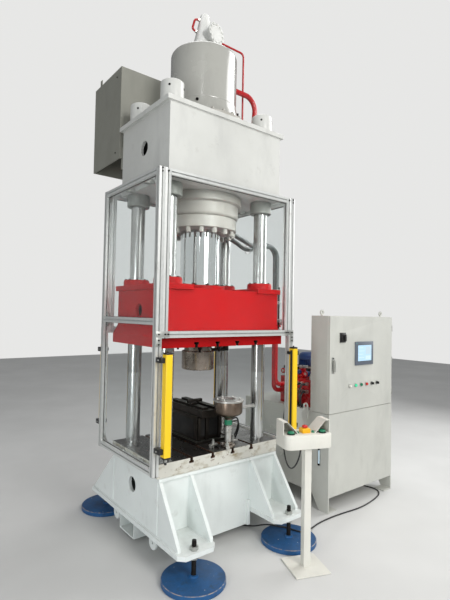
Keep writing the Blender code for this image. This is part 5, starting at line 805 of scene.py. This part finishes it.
def dress_guard():
    surfaces = [aluminium, zinc, black_oxide, black_plastic]
    middle_bar, window_low, stile, half = 1.64, 1.5325, 0.5747, BAR / 2
    for side, name in ((-1, "guard_left"), (1, "guard_right")):
        bm = bmesh.new()
        x = side * POST_X
        for y in (-POST_Y, POST_Y):
            bar(bm, (x, y, GUARD_LOW), (x, y, GUARD_HIGH - 0.0005))
            end_cap(bm, x, y, GUARD_HIGH - 0.0015)
            end_cap(bm, x, y, GUARD_LOW - 0.002)
        reach = POST_Y - half
        for z in (GUARD_LOW + half, middle_bar, GUARD_HIGH - half):
            bar(bm, (x, -reach, z), (x, reach, z))
        for y_way in SIDES:
            for z, z_way in ((GUARD_LOW + BAR, 1), (middle_bar - half, -1), (middle_bar + half, 1),
                             (GUARD_HIGH - BAR, -1)):
                gusset = [(0, 0), (0.036, 0), (0.036, 0.004), (0.004, 0.036), (0, 0.036)]
                place = (Matrix.Translation((x - side * 0.012 - 0.008, y_way * reach, z))
                         @ Matrix.Rotation(math.pi / 2, 4, "Z") @ Matrix.Rotation(math.pi / 2, 4, "X"))
                prism(bm, [(y_way * -a, z_way * b) for a, b in gusset][::-y_way * z_way], 0.016, place, 1)
        for z, carrier in ((0.655, 0.5553), (2.637, 0.5303)):
            for y in (-0.15, 0.15):
                slab(bm, (side * carrier, y - 0.025, z - 0.015), (side * (POST_X - half), y + 0.025, z + 0.015),
                     1, 0.001)
        for y in (-POST_Y, POST_Y):
            for z in (GUARD_HIGH - 0.011, GUARD_HIGH - 0.034):
                cap_screw(bm, (x, y + math.copysign(half - 0.001, y), z), (0, y, 0), 0.007, 2)
        finish_piece(f"{name}_bars", bm, surfaces, replaces=(name,))
    for front, name in ((-1, "guard_front"), (1, "guard_rear")):
        bm = bmesh.new()
        y = front * POST_Y
        face = y + front * half
        for x in (-stile, stile):
            bar(bm, (x, y, window_low), (x, y, GUARD_HIGH))
        for z in (window_low + half, GUARD_HIGH - half):
            bar(bm, (half - stile, y, z), (stile - half, y, z))
        for way in SIDES:
            corner_plate(bm, -way * (POST_X + 0.0215), window_low + 0.0445, way, face, front)
        for x in (-stile, stile):
            cap_screw(bm, (x, face - front * 0.001, GUARD_HIGH - half), (0, front, 0), 0.008, 2)
            end_cap(bm, x, y, window_low - 0.002)
        finish_piece(f"{name}_bars", bm, surfaces, replaces=(name,))


def dress_panes():
    """Clear panes, each with dark strips where it enters its bars: the seal, and the painted shade in the groove."""
    grip, shown, thick = 0.008, 0.002, 0.0045
    seal_shadows = bmesh.new()
    for name in ("pane_left_upper", "pane_left_lower", "pane_right_upper", "pane_right_lower", "pane_front",
                 "pane_rear"):
        nodes[name].data.materials.clear()
        nodes[name].data.materials.append(clear.material)
        nodes[name].visible_shadow = False
        low, high = (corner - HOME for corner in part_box(name))
        flat, wide = (1, 0) if name in ("pane_front", "pane_rear") else (0, 1)
        middle = (low[flat] + high[flat]) / 2
        for edge, along in ((2, wide), (wide, 2)):
            for rim, way in ((low[edge] + grip, 1), (high[edge] - grip, -1)):
                corner, far = [0, 0, 0], [0, 0, 0]
                corner[flat], far[flat] = middle - thick, middle + thick
                corner[along], far[along] = low[along] + grip, high[along] - grip
                corner[edge], far[edge] = rim, rim + way * shown
                slab(seal_shadows, corner, far)
    finish_piece("pane_seal_shadows", seal_shadows, groove_seal_and_shadow)


def dress_curtains():
    low, high = 0.779, 1.431
    wide, deep, cut = 0.024, 0.026, 0.004
    quarter = [(wide, deep - cut), (wide - cut, deep)]
    outline = [(a * x, b * y) for a, b, turn in ((-1, -1, 1), (1, -1, -1), (1, 1, 1), (-1, 1, -1))
               for x, y in quarter[::turn]]
    for name, (sx, sy) in CORNERS.items():
        bm = bmesh.new()
        x, y = sx * 0.585, sy * 0.5035
        prism(bm, outline, high - low, Matrix.Translation((x, y, low)))
        inner = x - sx * wide
        slab(bm, (inner - 0.0006, y - 0.012, low + 0.012), (inner + 0.0006, y + 0.012, high - 0.012), 1)
        for z, way in ((low, -1), (high, 1)):
            slab(bm, (x - 0.0225, y - 0.0245, z), (x + 0.0225, y + 0.0245, z + way * 0.013), 2, 0.003)
        rod(bm, (x, y, low - 0.012), (x, y, low - 0.036), 0.0075, 3, 20)
        rod(bm, (x, y, low - 0.034), (x, y, low - 0.05), 0.0085, 2, 12)
        rod(bm, (x, y, high + 0.012), (x, y, high + 0.022), 0.006, 2, 16)
        near, outer = sy * 0.4438, sx * 0.6385
        for z in (0.815, 1.395):
            rod(bm, (x - sx * 0.002, min(near, y), z), (x - sx * 0.002, y, z), 0.008, 2, 12)
            slab(bm, (x + sx * 0.0205, near, z - 0.017), (outer, y + sy * 0.01, z + 0.017), 2, 0.002)
            slab(bm, (x - 0.029, y - sy * 0.0275, z - 0.012), (x + 0.029, y + sy * 0.006, z + 0.012), 2, 0.002)
            cap_screw(bm, (outer, (near + y + sy * 0.01) / 2, z), (sx, 0, 0), 0.006, 3)
            slab(bm, (x - 0.012, near, z - 0.012), (x + (0.03 if sx > 0 else 0.012), y - sy * 0.026, z + 0.012),
                 2, 0.001)
        finish_piece(f"light_curtain_{name}_housing", bm, [curtain_paint, black_plastic, black_plastic, zinc],
                     replaces=(f"light_curtain_{name}",))


# Tooling

def dress_tooling():
    bm = bmesh.new()
    lathe(bm, [(0, 1.4597), (0.123, 1.4597), (0.125, 1.4577), (0.125, 1.4397), (0.123, 1.4377), (0.112, 1.4377),
               (0.112, 1.4), (0.127, 1.3997), (0.131, 1.3957), (0.131, 1.262), (0.128, 1.254), (0.121, 1.25),
               (0.1, 1.25), (0.098, 1.258), (0, 1.258)], steps=128)
    for x, y in ring_of(8, 0.118):
        cap_screw(bm, (x * 0.985, y * 0.985, 1.4377), (0, 0, -1), 0.009, 1)
    finish_piece("upper_tool_turned", bm, [die_steel, black_oxide], SLIDE, ("upper_tool",))

    bm = bmesh.new()
    for x in (0.0935, -0.0935):
        for side in SIDES[::-1]:
            y = side * 0.158
            slab(bm, (x - 0.02, side * 0.17, 1.436), (x + 0.02, side * 0.105, 1.4575), 0, 0.002)
            rod(bm, (x, y, 1.398), (x, y, 1.4595), 0.009, 1, 20)
            rod(bm, (x, y, 1.418), (x, y, 1.436), 0.017, 1, 6)
    slab(bm, (0.125, -0.022, 1.388), (0.3, 0.022, 1.412), 0, 0.003)
    slab(bm, (0.262, -0.02, 1.412), (0.298, 0.02, 1.4595), 0, 0.003)
    finish_piece("upper_clamps", bm, [dark_steel, black_oxide], SLIDE)

    refine("tool_table", table_steel, 0.0025)
    bm = bmesh.new()
    for x in (-0.028, 0.028, 0.072, 0.128):
        for y in (-0.06, 0.1, 0.26):
            bolt(bm, (x, y, 0.9405), UP, 0.008, 1, True)
    slab(bm, (-0.04, 0.02, 0.958), (0.02, 0.05, 0.976), 0, 0.002)
    slab(bm, (-0.02, 0.1, 0.958), (0.125, 0.128, 0.982), 0, 0.002)
    slab(bm, (-0.0665, -0.055, 0.72), (-0.0648, 0.33, 0.86), 2)
    slab(bm, (-0.045, -0.1018, 0.73), (0.145, -0.0995, 0.865), 2)
    for x, far in ((0.01, 0.04), (-0.06, -0.035), (0.135, 0.16)):
        slab(bm, (x, -0.118, 0.7003), (far, -0.1, 0.88), 0, 0.002)
    finish_piece("table_details", bm, [dark_steel, black_oxide, shadow_inside])

    bm = bmesh.new()
    base = (0.1, -0.285, 0)
    lathe(bm, [(0, 0.6803), (0.052, 0.6803), (0.055, 0.6833), (0.055, 0.698), (0.052, 0.7003), (0.036, 0.7003),
               (0.036, 0.716), (0.026, 0.72)], base, steps=96)
    lathe(bm, [(0.026, 0.72), (0.026, 0.79), (0.031, 0.794), (0.031, 0.84), (0.026, 0.844), (0.026, 0.886)],
          base, steps=96, index=1)
    lathe(bm, [(0.026, 0.886), (0.034, 0.9), (0.06, 0.912), (0.098, 0.93), (0.106, 0.94), (0.108, 0.948),
               (0.108, 1.02), (0.106, 1.026)], base, steps=96, index=4)
    lathe(bm, [(0.106, 1.026), (0.1165, 1.027), (0.118, 1.029), (0.118, 1.04), (0.116, 1.042), (0.06, 1.042),
               (0.056, 1.038), (0.04, 1.036), (0.04, 1.014), (0, 1.014)], base, steps=96, index=1)
    lathe(bm, [(0.0262, 0.846), (0.03, 0.848), (0.03, 0.88), (0.0262, 0.884)], base, steps=48, index=3)
    for x, y in ring_of(6, 0.088):
        cap_screw(bm, (base[0] + x, base[1] + y, 1.042), UP, 0.01, 1)
    rod(bm, (0.195, -0.3, 0.968), (0.325, -0.315, 0.972), 0.0125, 1, 24)
    rod(bm, (0.318, -0.314, 0.971), (0.332, -0.316, 0.972), 0.016, 1, 24)
    finish_piece("tool_post_turned", bm, [die_steel, bright_steel, black_oxide, palm_plastic, cup_steel],
                 replaces=("tool_post",))
    for index, route in enumerate((
            [(0.128, -0.285, 0.862), (0.165, -0.275, 0.862), (0.215, -0.262, 0.85), (0.245, -0.24, 0.8),
             (0.25, -0.215, 0.745), (0.245, -0.19, 0.7), (0.22, -0.165, 0.6865), (0.17, -0.15, 0.6865)],
            [(0.128, -0.28, 0.873), (0.172, -0.262, 0.88), (0.232, -0.232, 0.868), (0.268, -0.205, 0.82),
             (0.275, -0.18, 0.76), (0.262, -0.158, 0.706), (0.225, -0.145, 0.6865), (0.18, -0.142, 0.6865)])):
        pipe(f"tool_hose_{index}", smooth_route(route, 0.012), 0.0062, rubber, sides=4)
    bm = bmesh.new()
    for x, y, turn in ((-0.012, -0.245, 0.2), (0.19, -0.235, -0.5), (0.045, -0.345, 1.1)):
        stud = Vector((x, y, BOLSTER_TOP))
        place = Matrix.Translation(stud) @ Matrix.Rotation(turn, 4, "Z")
        placed_slab(bm, place, (-0.038, -0.014, 0.014), (0.038, 0.014, 0.028), 0, 0.002)
        rod(bm, stud, stud + UP * 0.062, 0.008, 1, 16)
        rod(bm, stud + UP * 0.028, stud + UP * 0.044, 0.015, 1, 6)
        heel = place @ Vector((-0.028, 0, 0))
        block(bm, (heel.x, heel.y, BOLSTER_TOP + 0.00765), (0.009, 0.009, 0.00735), 0, 0.001)
    finish_piece("bolster_clamps", bm, [bright_steel, zinc])


# Console

CONSOLE = Matrix.Translation((0.275, -0.929, 0)) @ Matrix.Rotation(math.radians(-21.5), 4, "Z")


def dress_console():
    refine("console_stand", console_cream, 0.002)
    bm = bmesh.new()
    half, back, front, corner = 0.175, 0.1225, -0.0525, 0.045
    outline = [(half, back), (-half, back)]
    for sign, first in ((-1, math.pi), (1, 1.5 * math.pi)):
        for step in range(13):
            turn = first + math.pi / 2 * step / 12
            outline.append((sign * (half - corner) + corner * math.cos(turn),
                            front + corner + corner * math.sin(turn)))
    prism(bm, outline, 0.093, Matrix.Translation((0, 0, 0.8)))
    rims = [e for e in bm.edges if abs(e.verts[0].co.z - e.verts[1].co.z) < 1e-6]
    bmesh.ops.bevel(bm, geom=rims, offset=0.004, offset_type="OFFSET", segments=3, profile=0.5, affect="EDGES",
                    material=-1)
    place = Matrix.Translation((0, back, 0)) @ Matrix.Rotation(math.pi / 2, 4, "X")
    for side in SIDES:
        cheek = [(0, 0.89), (0, 0.978), (0.03, 0.978), (0.115, 0.893),
                 (0.1105, 0.89), (0.0325, 0.9738), (0.004, 0.9738), (0.004, 0.89)]
        wall = [(0, 0.891), (0, 0.978), (0.03, 0.978), (0.115, 0.893), (0.113, 0.891)]
        for shape, depth in ((cheek, 0.12), (wall, 0.004)):
            prism(bm, [(side * (half - x), z) for x, z in shape][::side], depth, place)
    bmesh.ops.transform(bm, matrix=CONSOLE, verts=bm.verts)
    placed_slab(bm, CONSOLE, (-0.03, 0.005, 0.89), (0.03, 0.065, 0.923), 1, 0.004)
    for x, index in ((-0.062, 2), (0.055, 2), (0.078, 3)):
        lathe(bm, [(0.0125, 0), (0.0125, 0.004), (0.0105, 0.005), (0.0095, 0.01), (0.006, 0.013), (0, 0.014)],
              CONSOLE @ Vector((x, 0.02, 0.8925)), steps=28, index=index)
    rod(bm, (0.33, -0.822, 0.8015), (0.33, -0.822, 0.7785), 0.012, 4, 6)
    finish_piece("console_box_body", bm, [console_cream, stop_yellow, palm_plastic, black_plastic, black_plastic],
                 replaces=("console_box",))
    for side, name in ((-1, "left"), (1, "right")):
        spot = CONSOLE @ Vector((side * 0.118, 0.005, 0.893))
        bm = bmesh.new()
        lathe(bm, [(0, -0.016), (0.012, -0.016), (0.012, 0.008), (0.0235, 0.008), (0.024, 0.01), (0.0235, 0.014),
                   (0.02, 0.0185), (0.013, 0.0212), (0, 0.022)], spot, steps=48)
        finish_piece(f"palm_button_{name}_cap", bm, palm_plastic, f"palm_button_{name}", (f"palm_button_{name}",))
        bm = bmesh.new()
        lathe(bm, [(0.0128, 0), (0.0285, 0), (0.0285, 0.003), (0.0272, 0.0045), (0.0252, 0.0045), (0.0248, 0.0002),
                   (0.0128, 0.0002)], spot + UP * 0.0001, steps=48)
        finish_piece(f"palm_collar_{name}", bm, black_plastic)
    bm = bmesh.new()
    lathe(bm, [(0, -0.012), (0.01, -0.012), (0.01, 0.005), (0.0193, 0.005), (0.02, 0.0065), (0.0198, 0.011),
               (0.0175, 0.0165), (0.012, 0.0188), (0, 0.019)], CONSOLE @ Vector((0, 0.035, 0.923)), steps=48)
    finish_piece("emergency_stop_cap", bm, stop_plastic, "emergency_stop", ("emergency_stop",))


# Power unit

def dress_unit():
    refine("oil_tank", cabinet_beige, 0.0022)
    refine("electric_cabinet", cabinet_beige, 0.0022)
    refine("cabinet_door", [cabinet_beige, black_plastic], 0.0022, DOOR)
    bm = bmesh.new()
    face, front = DOOR_FACE, (0, -1, 0)
    slab(bm, (1.384, face - 0.0135, 1.251), (1.661, face - 0.0005, 1.467), 0, 0.004)
    slab(bm, (1.414, face - 0.0145, 1.284), (1.631, face - 0.013, 1.438), 1, 0.0005)
    slab(bm, (1.418, face - 0.015, 1.288), (1.627, face - 0.014, 1.434), 2)
    for index in range(4):
        z = 1.412 - index * 0.03
        slab(bm, (1.426, face - 0.0153, z - 0.004), (1.426 + 0.07 + 0.02 * (index % 2), face - 0.0149, z + 0.002), 3)
    slab(bm, (1.535, face - 0.0153, 1.3), (1.615, face - 0.0149, 1.335), 3)
    slab(bm, (1.535, face - 0.0153, 1.35), (1.615, face - 0.0149, 1.42), 4)
    lathe(bm, [(0, 0), (0.003, 0), (0.003, 0.001), (0, 0.0012)], (1.4, face - 0.0135, 1.452), front, 12, 5)
    finish_piece("touch_panel", bm, [bezel_grey, black_plastic, screen_glow, screen_mark, screen_and_gauge_glow, lamp_green],
                 DOOR)

    bm = bmesh.new()
    slab(bm, (1.155, face - 0.0065, 1.461), (1.249, face - 0.0003, 1.555), 0, 0.004)
    lathe(bm, [(0.04, 0), (0.04, 0.002), (0.036, 0.004), (0.034, 0.004), (0.034, 0)],
          (1.202, face - 0.0064, 1.508), front, 48, 0, True)
    finish_piece("main_switch_plate", bm, black_plastic, DOOR)
    bm = bmesh.new()
    lathe(bm, [(0, 0.0003), (0.0325, 0.0003), (0.033, 0.001), (0.0315, 0.016), (0.0295, 0.0183), (0, 0.0183)],
          (1.202, face - 0.006, 1.508), front, 64)
    slab(bm, (1.193, face - 0.044, 1.4775), (1.211, face - 0.0235, 1.5385), 0, 0.004)
    slab(bm, (1.2005, face - 0.0444, 1.52), (1.2035, face - 0.0436, 1.536), 1)
    finish_piece("main_switch_knob", bm, [black_plastic, zinc], "main_switch", ("main_switch",))

    bm = bmesh.new()
    lathe(bm, [(0, 0.0003), (0.0128, 0.0003), (0.0128, 0.0118), (0, 0.0118)], (1.077, face, 1.305), front, 32)
    slab(bm, (1.0672, face - 0.024, 1.2105), (1.0868, face - 0.011, 1.3148), 0, 0.004)
    finish_piece("door_handle_lever", bm, zinc, "door_handle", ("door_handle",))
    bm = bmesh.new()
    slab(bm, (1.058, face - 0.0022, 1.196), (1.096, face - 0.0003, 1.338), 0, 0.0008)
    for z in (1.204, 1.33):
        cap_screw(bm, (1.077, face - 0.0022, z), front, 0.004, 1)
    finish_piece("door_handle_plate", bm, [zinc, black_oxide], DOOR)

    row = 1.07
    caps = {"run_button": lamp_green, "start_button": palm_plastic, "stop_push_button": stop_plastic,
            "mode_selector": black_plastic, "key_selector": black_plastic}
    collars = bmesh.new()
    for index, name in enumerate(("lamp", *caps)):
        x = 1.316 + index * 0.084
        spot = (x, face - 0.0001, row)
        lathe(collars, [(0.0131, 0), (0.0178, 0), (0.0178, 0.005), (0.0168, 0.0066), (0.014, 0.0066),
                        (0.0131, 0.0056)], spot, front, 40, 0, True)
        if name == "lamp":
            lathe(collars, [(0, 0.019), (0.009, 0.0188), (0.0118, 0.0165), (0.0124, 0.012), (0.0124, 0.004)],
                  spot, front, 36, 1)
            continue
        bm = bmesh.new()
        selector = "selector" in name
        crown = [(0.0124, 0.0165), (0.0115, 0.0178)] if selector else [(0.0124, 0.016), (0.0114, 0.0175),
                                                                       (0.01, 0.0178)]
        lathe(bm, [(0, -0.008), (0.0124, -0.008), *crown, (0, 0.0178)], (x, face, row), front, 36)
        if selector:
            slab(bm, (x - 0.0034, face - 0.0298, 1.0595), (x + 0.0034, face - 0.017, 1.0805), 0, 0.0012)
        finish_piece(f"{name}_cap", bm, caps[name], name, (name,))
    finish_piece("button_collars", collars, [zinc, lamp_white], DOOR)

    bm = bmesh.new()
    for z in (0.965, 1.275, 1.585):
        rod(bm, (2.001, face - 0.001, z - 0.03), (2.001, face - 0.001, z + 0.03), 0.0025, 0, 20)
    finish_piece("door_hinges", bm, zinc)

    bm = bmesh.new()
    slab(bm, (UNIT_LEFT - 0.0006, -0.427, 0.385), (UNIT_LEFT + 0.003, -0.393, 0.54), 0, 0.001)
    # The sight tube glows pale blue: a painted sheen, since the tube holds no lamp
    rod(bm, (UNIT_LEFT - 0.004, -0.41, 0.392), (UNIT_LEFT - 0.004, -0.41, 0.532), 0.006, 1, 20)
    for z in (0.396, 0.529):
        rod(bm, (UNIT_LEFT + 0.001, -0.41, z), (UNIT_LEFT - 0.01, -0.41, z), 0.01, 2, 6)
    finish_piece("level_gauge", bm, [zinc, screen_and_gauge_glow, black_oxide])


def dress_pump():
    bm = bmesh.new()
    base = Vector((1.62, 0.18, 0))
    low = TANK_TOP + 0.0003
    lathe(bm, [(0, low), (0.172, low), (0.175, low + 0.003), (0.175, low + 0.026), (0.171, low + 0.03),
               (0.138, low + 0.03), (0.138, low + 0.39), (0.1495, low + 0.392), (0.15, low + 0.425),
               (0.14, low + 0.444), (0.118, low + 0.457), (0.1, low + 0.4597), (0, low + 0.4597)], base,
          steps=72)
    for index in range(40):
        place = Matrix.Translation(base) @ Matrix.Rotation(2 * math.pi * index / 40, 4, "Z")
        placed_slab(bm, place, (0.132, -0.0022, low + 0.03), (0.1492, 0.0022, low + 0.389))
    slab(bm, (1.44, 0.11, low + 0.16), (1.485, 0.25, low + 0.29), 0, 0.006)
    for x, y in ring_of(8, 0.16):
        bolt(bm, (base.x + x, base.y + y, low + 0.03), UP, 0.012, 1, True)
    finish_piece("pump_motor_body", bm, [pump_blue, zinc], replaces=("pump_motor",))


# Hoses: y and z of the fitting on the valve block, how far each hangs out and how far it drops
HOSES = ((-0.19, 1.06, 0.1, -0.2), (-0.13, 1.06, 0.12, -0.16), (-0.07, 1.06, 0.105, -0.19),
         (-0.19, 0.99, 0.075, -0.12), (-0.13, 0.99, 0.07, -0.11), (-0.07, 0.99, 0.065, -0.11))
BLOCK_FACE = 1.12


def dress_valves():
    refine("valve_block", line_red, 0.003)
    bm = bmesh.new()
    middle, axis = 1.21, 1.155
    for y in (-0.184, -0.04, 0.104):
        block(bm, (middle, y, 1.114), (0.038, 0.038, 0.014), 1, 0.003)
        block(bm, (middle, y, 1.201), (0.042, 0.036, 0.011), 2, 0.003)
        for side in SIDES:
            rod(bm, (middle + side * 0.04, y, axis), (middle + side * 0.112, y, axis), 0.0275, 0, 36)
            rod(bm, (middle + side * 0.112, y, axis), (middle + side * 0.121, y, axis), 0.013, 2, 24)
            block(bm, (middle + side * 0.076, y, 1.1915), (0.016, 0.016, 0.0135), 3, 0.003)
        for a, b in CORNERS.values():
            cap_screw(bm, (middle + a * 0.024, y + b * 0.024, 1.212), UP, 0.006, 3)
    for x, y, top in ((1.15, -0.21, 1.19), (1.15, 0.03, 1.24), (1.27, -0.11, 1.22)):
        lathe(bm, [(0, top), (0.008, top), (0.01, top - 0.006), (0.01, top - 0.03), (0.022, top - 0.034),
                   (0.024, top - 0.04), (0.024, 1.1)], (x, y, 0), steps=36, index=2)
    finish_piece("valve_stacks", bm, [pump_blue, line_red, bright_steel, black_plastic])

    bm = bmesh.new()
    for y, z, _, _ in HOSES:
        rod(bm, (BLOCK_FACE, y, z), (BLOCK_FACE - 0.018, y, z), 0.017, 0, 6)
        rod(bm, (BLOCK_FACE - 0.018, y, z), (BLOCK_FACE - 0.04, y, z), 0.0135, 0, 24)
    finish_piece("hose_fittings", bm, bright_steel)
    for index, (y, z, reach, drop) in enumerate(HOSES):
        start = Vector((BLOCK_FACE - 0.038, y, z))
        hang = [(-0.022, 0, 0.001), (-0.5 * reach, 0.004, -0.012), (-0.62 * reach, 0.012, drop * 0.45),
                (-0.4 * reach, 0.02, drop * 0.86)]
        route = [start, *(start + Vector(way) for way in hang),
                 (1.075 + 0.01 * index, y + 0.03, TANK_TOP + 0.01),
                 (1.083 + 0.01 * index, y + 0.032, TANK_TOP - 0.002)]
        pipe(f"pilot_hose_{index}", smooth_route(route, 0.012), 0.0095, rubber, sides=4)


# Hydraulic lines: y, height at the wall, crest's height and x, x of the drop, height and y at the valve block
LINES = {"pressure_line": (0.02, 2.315, 2.335, 0.8, 0.905, 1.045, 0.02),
         "return_line": (0.12, 2.3, 2.365, 0.85, 0.975, 0.97, 0.11)}
LINE_CLAMPS = (1.62, 1.66)


def dress_lines():
    bm = bmesh.new()
    start = 0.3103
    for clamp, (name, (y, wall_z, crest, crest_x, drop, elbow, block_y)) in zip(LINE_CLAMPS, LINES.items()):
        bend = drop - crest_x
        arc = smooth_route([(start, y, PORT_Z), (start + 0.021, y, PORT_Z),
                            ((start + POST_X) / 2, y, (PORT_Z + wall_z) / 2), (POST_X, y, wall_z),
                            (crest_x, y, crest)], 0.02)
        turns = [math.pi / 2 * step / 12 for step in range(1, 13)]
        turn = [(crest_x + bend * math.sin(a), y, crest - bend + bend * math.cos(a)) for a in turns]
        low = bent([(drop, y, crest - bend - 0.021), (drop, block_y, elbow), (1.1197, block_y, elbow)], 0.063)
        pipe(f"{name}_bent", [*arc, *turn, *low], 0.021, line_grey, (name,), 8)
        slab(bm, (1.094, block_y - 0.036, elbow - 0.036), (1.1197, block_y + 0.036, elbow + 0.036), 0, 0.003)
        block(bm, (drop, y, clamp), (0.034, 0.03, 0.011), 0, 0.002)
        block(bm, (drop, y, clamp - 0.025), (0.034, 0.03, 0.011), 0, 0.002)
        for a, b in CORNERS.values():
            cap_screw(bm, (1.094, block_y + a * 0.026, elbow + b * 0.026), (-1, 0, 0), 0.007, 1)
            cap_screw(bm, (drop + a * 0.025, y + b * 0.019, clamp + 0.011), UP, 0.006, 1)
        rod(bm, (0.311, y, PORT_Z), (0.335, y, PORT_Z - 0.001), 0.03, 0, 8)
    finish_piece("line_flanges", bm, [line_red, black_oxide])


# Cables

FLOOR_CABLE = (
    (1.8, -0.2, 0.1095), (1.8, -0.2, 0.088), (1.805, -0.216, 0.048), (1.817, -0.258, 0.015),
    (1.835, -0.32, 0.006), (1.852, -0.4, 0.006), (1.84, -0.465, 0.006), (1.775, -0.525, 0.006),
    (1.68, -0.558, 0.006), (1.56, -0.582, 0.006), (1.43, -0.598, 0.006), (1.3, -0.598, 0.006),
    (1.17, -0.584, 0.006), (1.04, -0.575, 0.006), (0.92, -0.574, 0.006), (0.82, -0.582, 0.006),
    (0.74, -0.6, 0.008), (0.69, -0.622, 0.02), (0.65, -0.642, 0.037), (0.6, -0.656, 0.042),
    (0.55, -0.64, 0.0418), (0.525, -0.59, 0.0418), (0.505, -0.53, 0.0418), (0.47, -0.475, 0.0418),
    (0.435, -0.425, 0.0425), (0.405, -0.375, 0.033), (0.375, -0.325, 0.014), (0.345, -0.285, 0.006),
    (0.31, -0.245, 0.006), (0.262, -0.216, 0.0075), (0.232, -0.201, 0.017), (0.222, -0.196, 0.031),
    (0.222, -0.196, 0.0395),
)
CONSOLE_CABLE = (
    (0.33, -0.822, 0.7775), (0.33, -0.822, 0.75), (0.335, -0.81, 0.706), (0.35, -0.78, 0.655),
    (0.375, -0.735, 0.605), (0.412, -0.675, 0.562), (0.46, -0.602, 0.532), (0.515, -0.525, 0.52),
    (0.575, -0.448, 0.524), (0.637, -0.372, 0.545), (0.698, -0.3, 0.584), (0.757, -0.236, 0.64),
    (0.815, -0.18, 0.712), (0.868, -0.136, 0.79), (0.912, -0.106, 0.855), (0.948, -0.09, 0.895),
    (0.985, -0.082, 0.919), (1.022, -0.08, 0.922), (1.049, -0.08, 0.908), (1.058, -0.08, 0.886),
    (1.058, -0.08, 0.8655),
)


def dress_cables():
    for name, route in (("floor_cable", FLOOR_CABLE), ("console_cable", CONSOLE_CABLE)):
        points = smooth_route(route, 0.016)
        made = pipe(f"{name}_run", points, 0.0055, rubber, (name,), 5)


for dress in (dress_cables, dress_bed, dress_bolster, dress_columns, dress_slide, dress_crown, dress_cylinder,
              dress_tank, dress_valve, dress_top_pipes, dress_mounts, dress_guard, dress_panes, dress_curtains,
              dress_tooling, dress_console, dress_unit, dress_pump, dress_valves, dress_lines):
    dress()


# Floor, backdrop and lamps

def build_stage():
    bm = bmesh.new()
    bmesh.ops.create_grid(bm, x_segments=1, y_segments=1, size=14)
    mesh = bpy.data.meshes.new("floor")
    bm.to_mesh(mesh)
    bm.free()
    floor = bpy.data.objects.new("floor", mesh)
    surface = Surface("floor_plain", (196, 196, 194), 0.75).stain((204, 204, 202), 0.8, 3, 0.4, 0.7)
    mesh.materials.append(surface.material)
    floor.location.z = -0.0005
    scene.collection.objects.link(floor)

    world = bpy.data.worlds.new("studio")
    world.use_nodes = True
    scene.world = world
    tree = world.node_tree
    new = tree.nodes.new
    sky = (0.93, 0.945, 0.96, 1)
    diffuse, mirrored, seen = tree.nodes["Background"], new("ShaderNodeBackground"), new("ShaderNodeBackground")
    for background, colour, strength in ((diffuse, sky, 0.44), (mirrored, sky, 0.2),
                                         (seen, (0.8, 0.8, 0.79, 1), 1.0)):
        background.inputs["Color"].default_value = colour
        background.inputs["Strength"].default_value = strength
    path, either = new("ShaderNodeLightPath"), new("ShaderNodeMath")
    either.operation = "MAXIMUM"
    polished, blend = new("ShaderNodeMixShader"), new("ShaderNodeMixShader")
    for output, target in (
            (path.outputs["Is Glossy Ray"], polished.inputs[0]), (diffuse.outputs[0], polished.inputs[1]),
            (mirrored.outputs[0], polished.inputs[2]), (path.outputs["Is Camera Ray"], either.inputs[0]),
            (path.outputs["Is Transmission Ray"], either.inputs[1]), (either.outputs[0], blend.inputs[0]),
            (polished.outputs[0], blend.inputs[1]), (seen.outputs[0], blend.inputs[2]),
            (blend.outputs[0], tree.nodes["World Output"].inputs[0])):
        tree.links.new(output, target)


def lamp(name, place, target, wide, high, power, tint=(1, 1, 1)):
    light = bpy.data.lights.new(name, "AREA")
    light.shape = "RECTANGLE"
    light.size, light.size_y = wide, high
    light.energy = power
    light.color = tint
    made = bpy.data.objects.new(name, light)
    place, target = Vector(place) + HOME, Vector(target) + HOME
    made.matrix_world = Matrix.Translation(place) @ (target - place).to_track_quat("-Z", "Y").to_matrix().to_4x4()
    scene.collection.objects.link(made)


build_stage()
for setting in (("key", (0.0, -5.6, 4.3), (0, 0, 1.8), 2.0, 4.2, 230, (1, 0.985, 0.96)),
                ("right", (4.8, -0.9, 4.4), (0, 0, 2.8), 3.4, 5.4, 240),
                ("strip", (-3.7, -4.6, 5.6), (0, 0, 3.2), 0.12, 5.0, 40),
                ("left", (-4.3, -2.4, 1.5), (0, 0, 1.3), 0.7, 2.0, 55, (0.95, 0.98, 1)),
                ("top", (0.4, 0.4, 6.6), (0.4, 0, 0), 3.2, 2.4, 60)):
    lamp(*setting)

scene.view_settings.view_transform = "Standard"
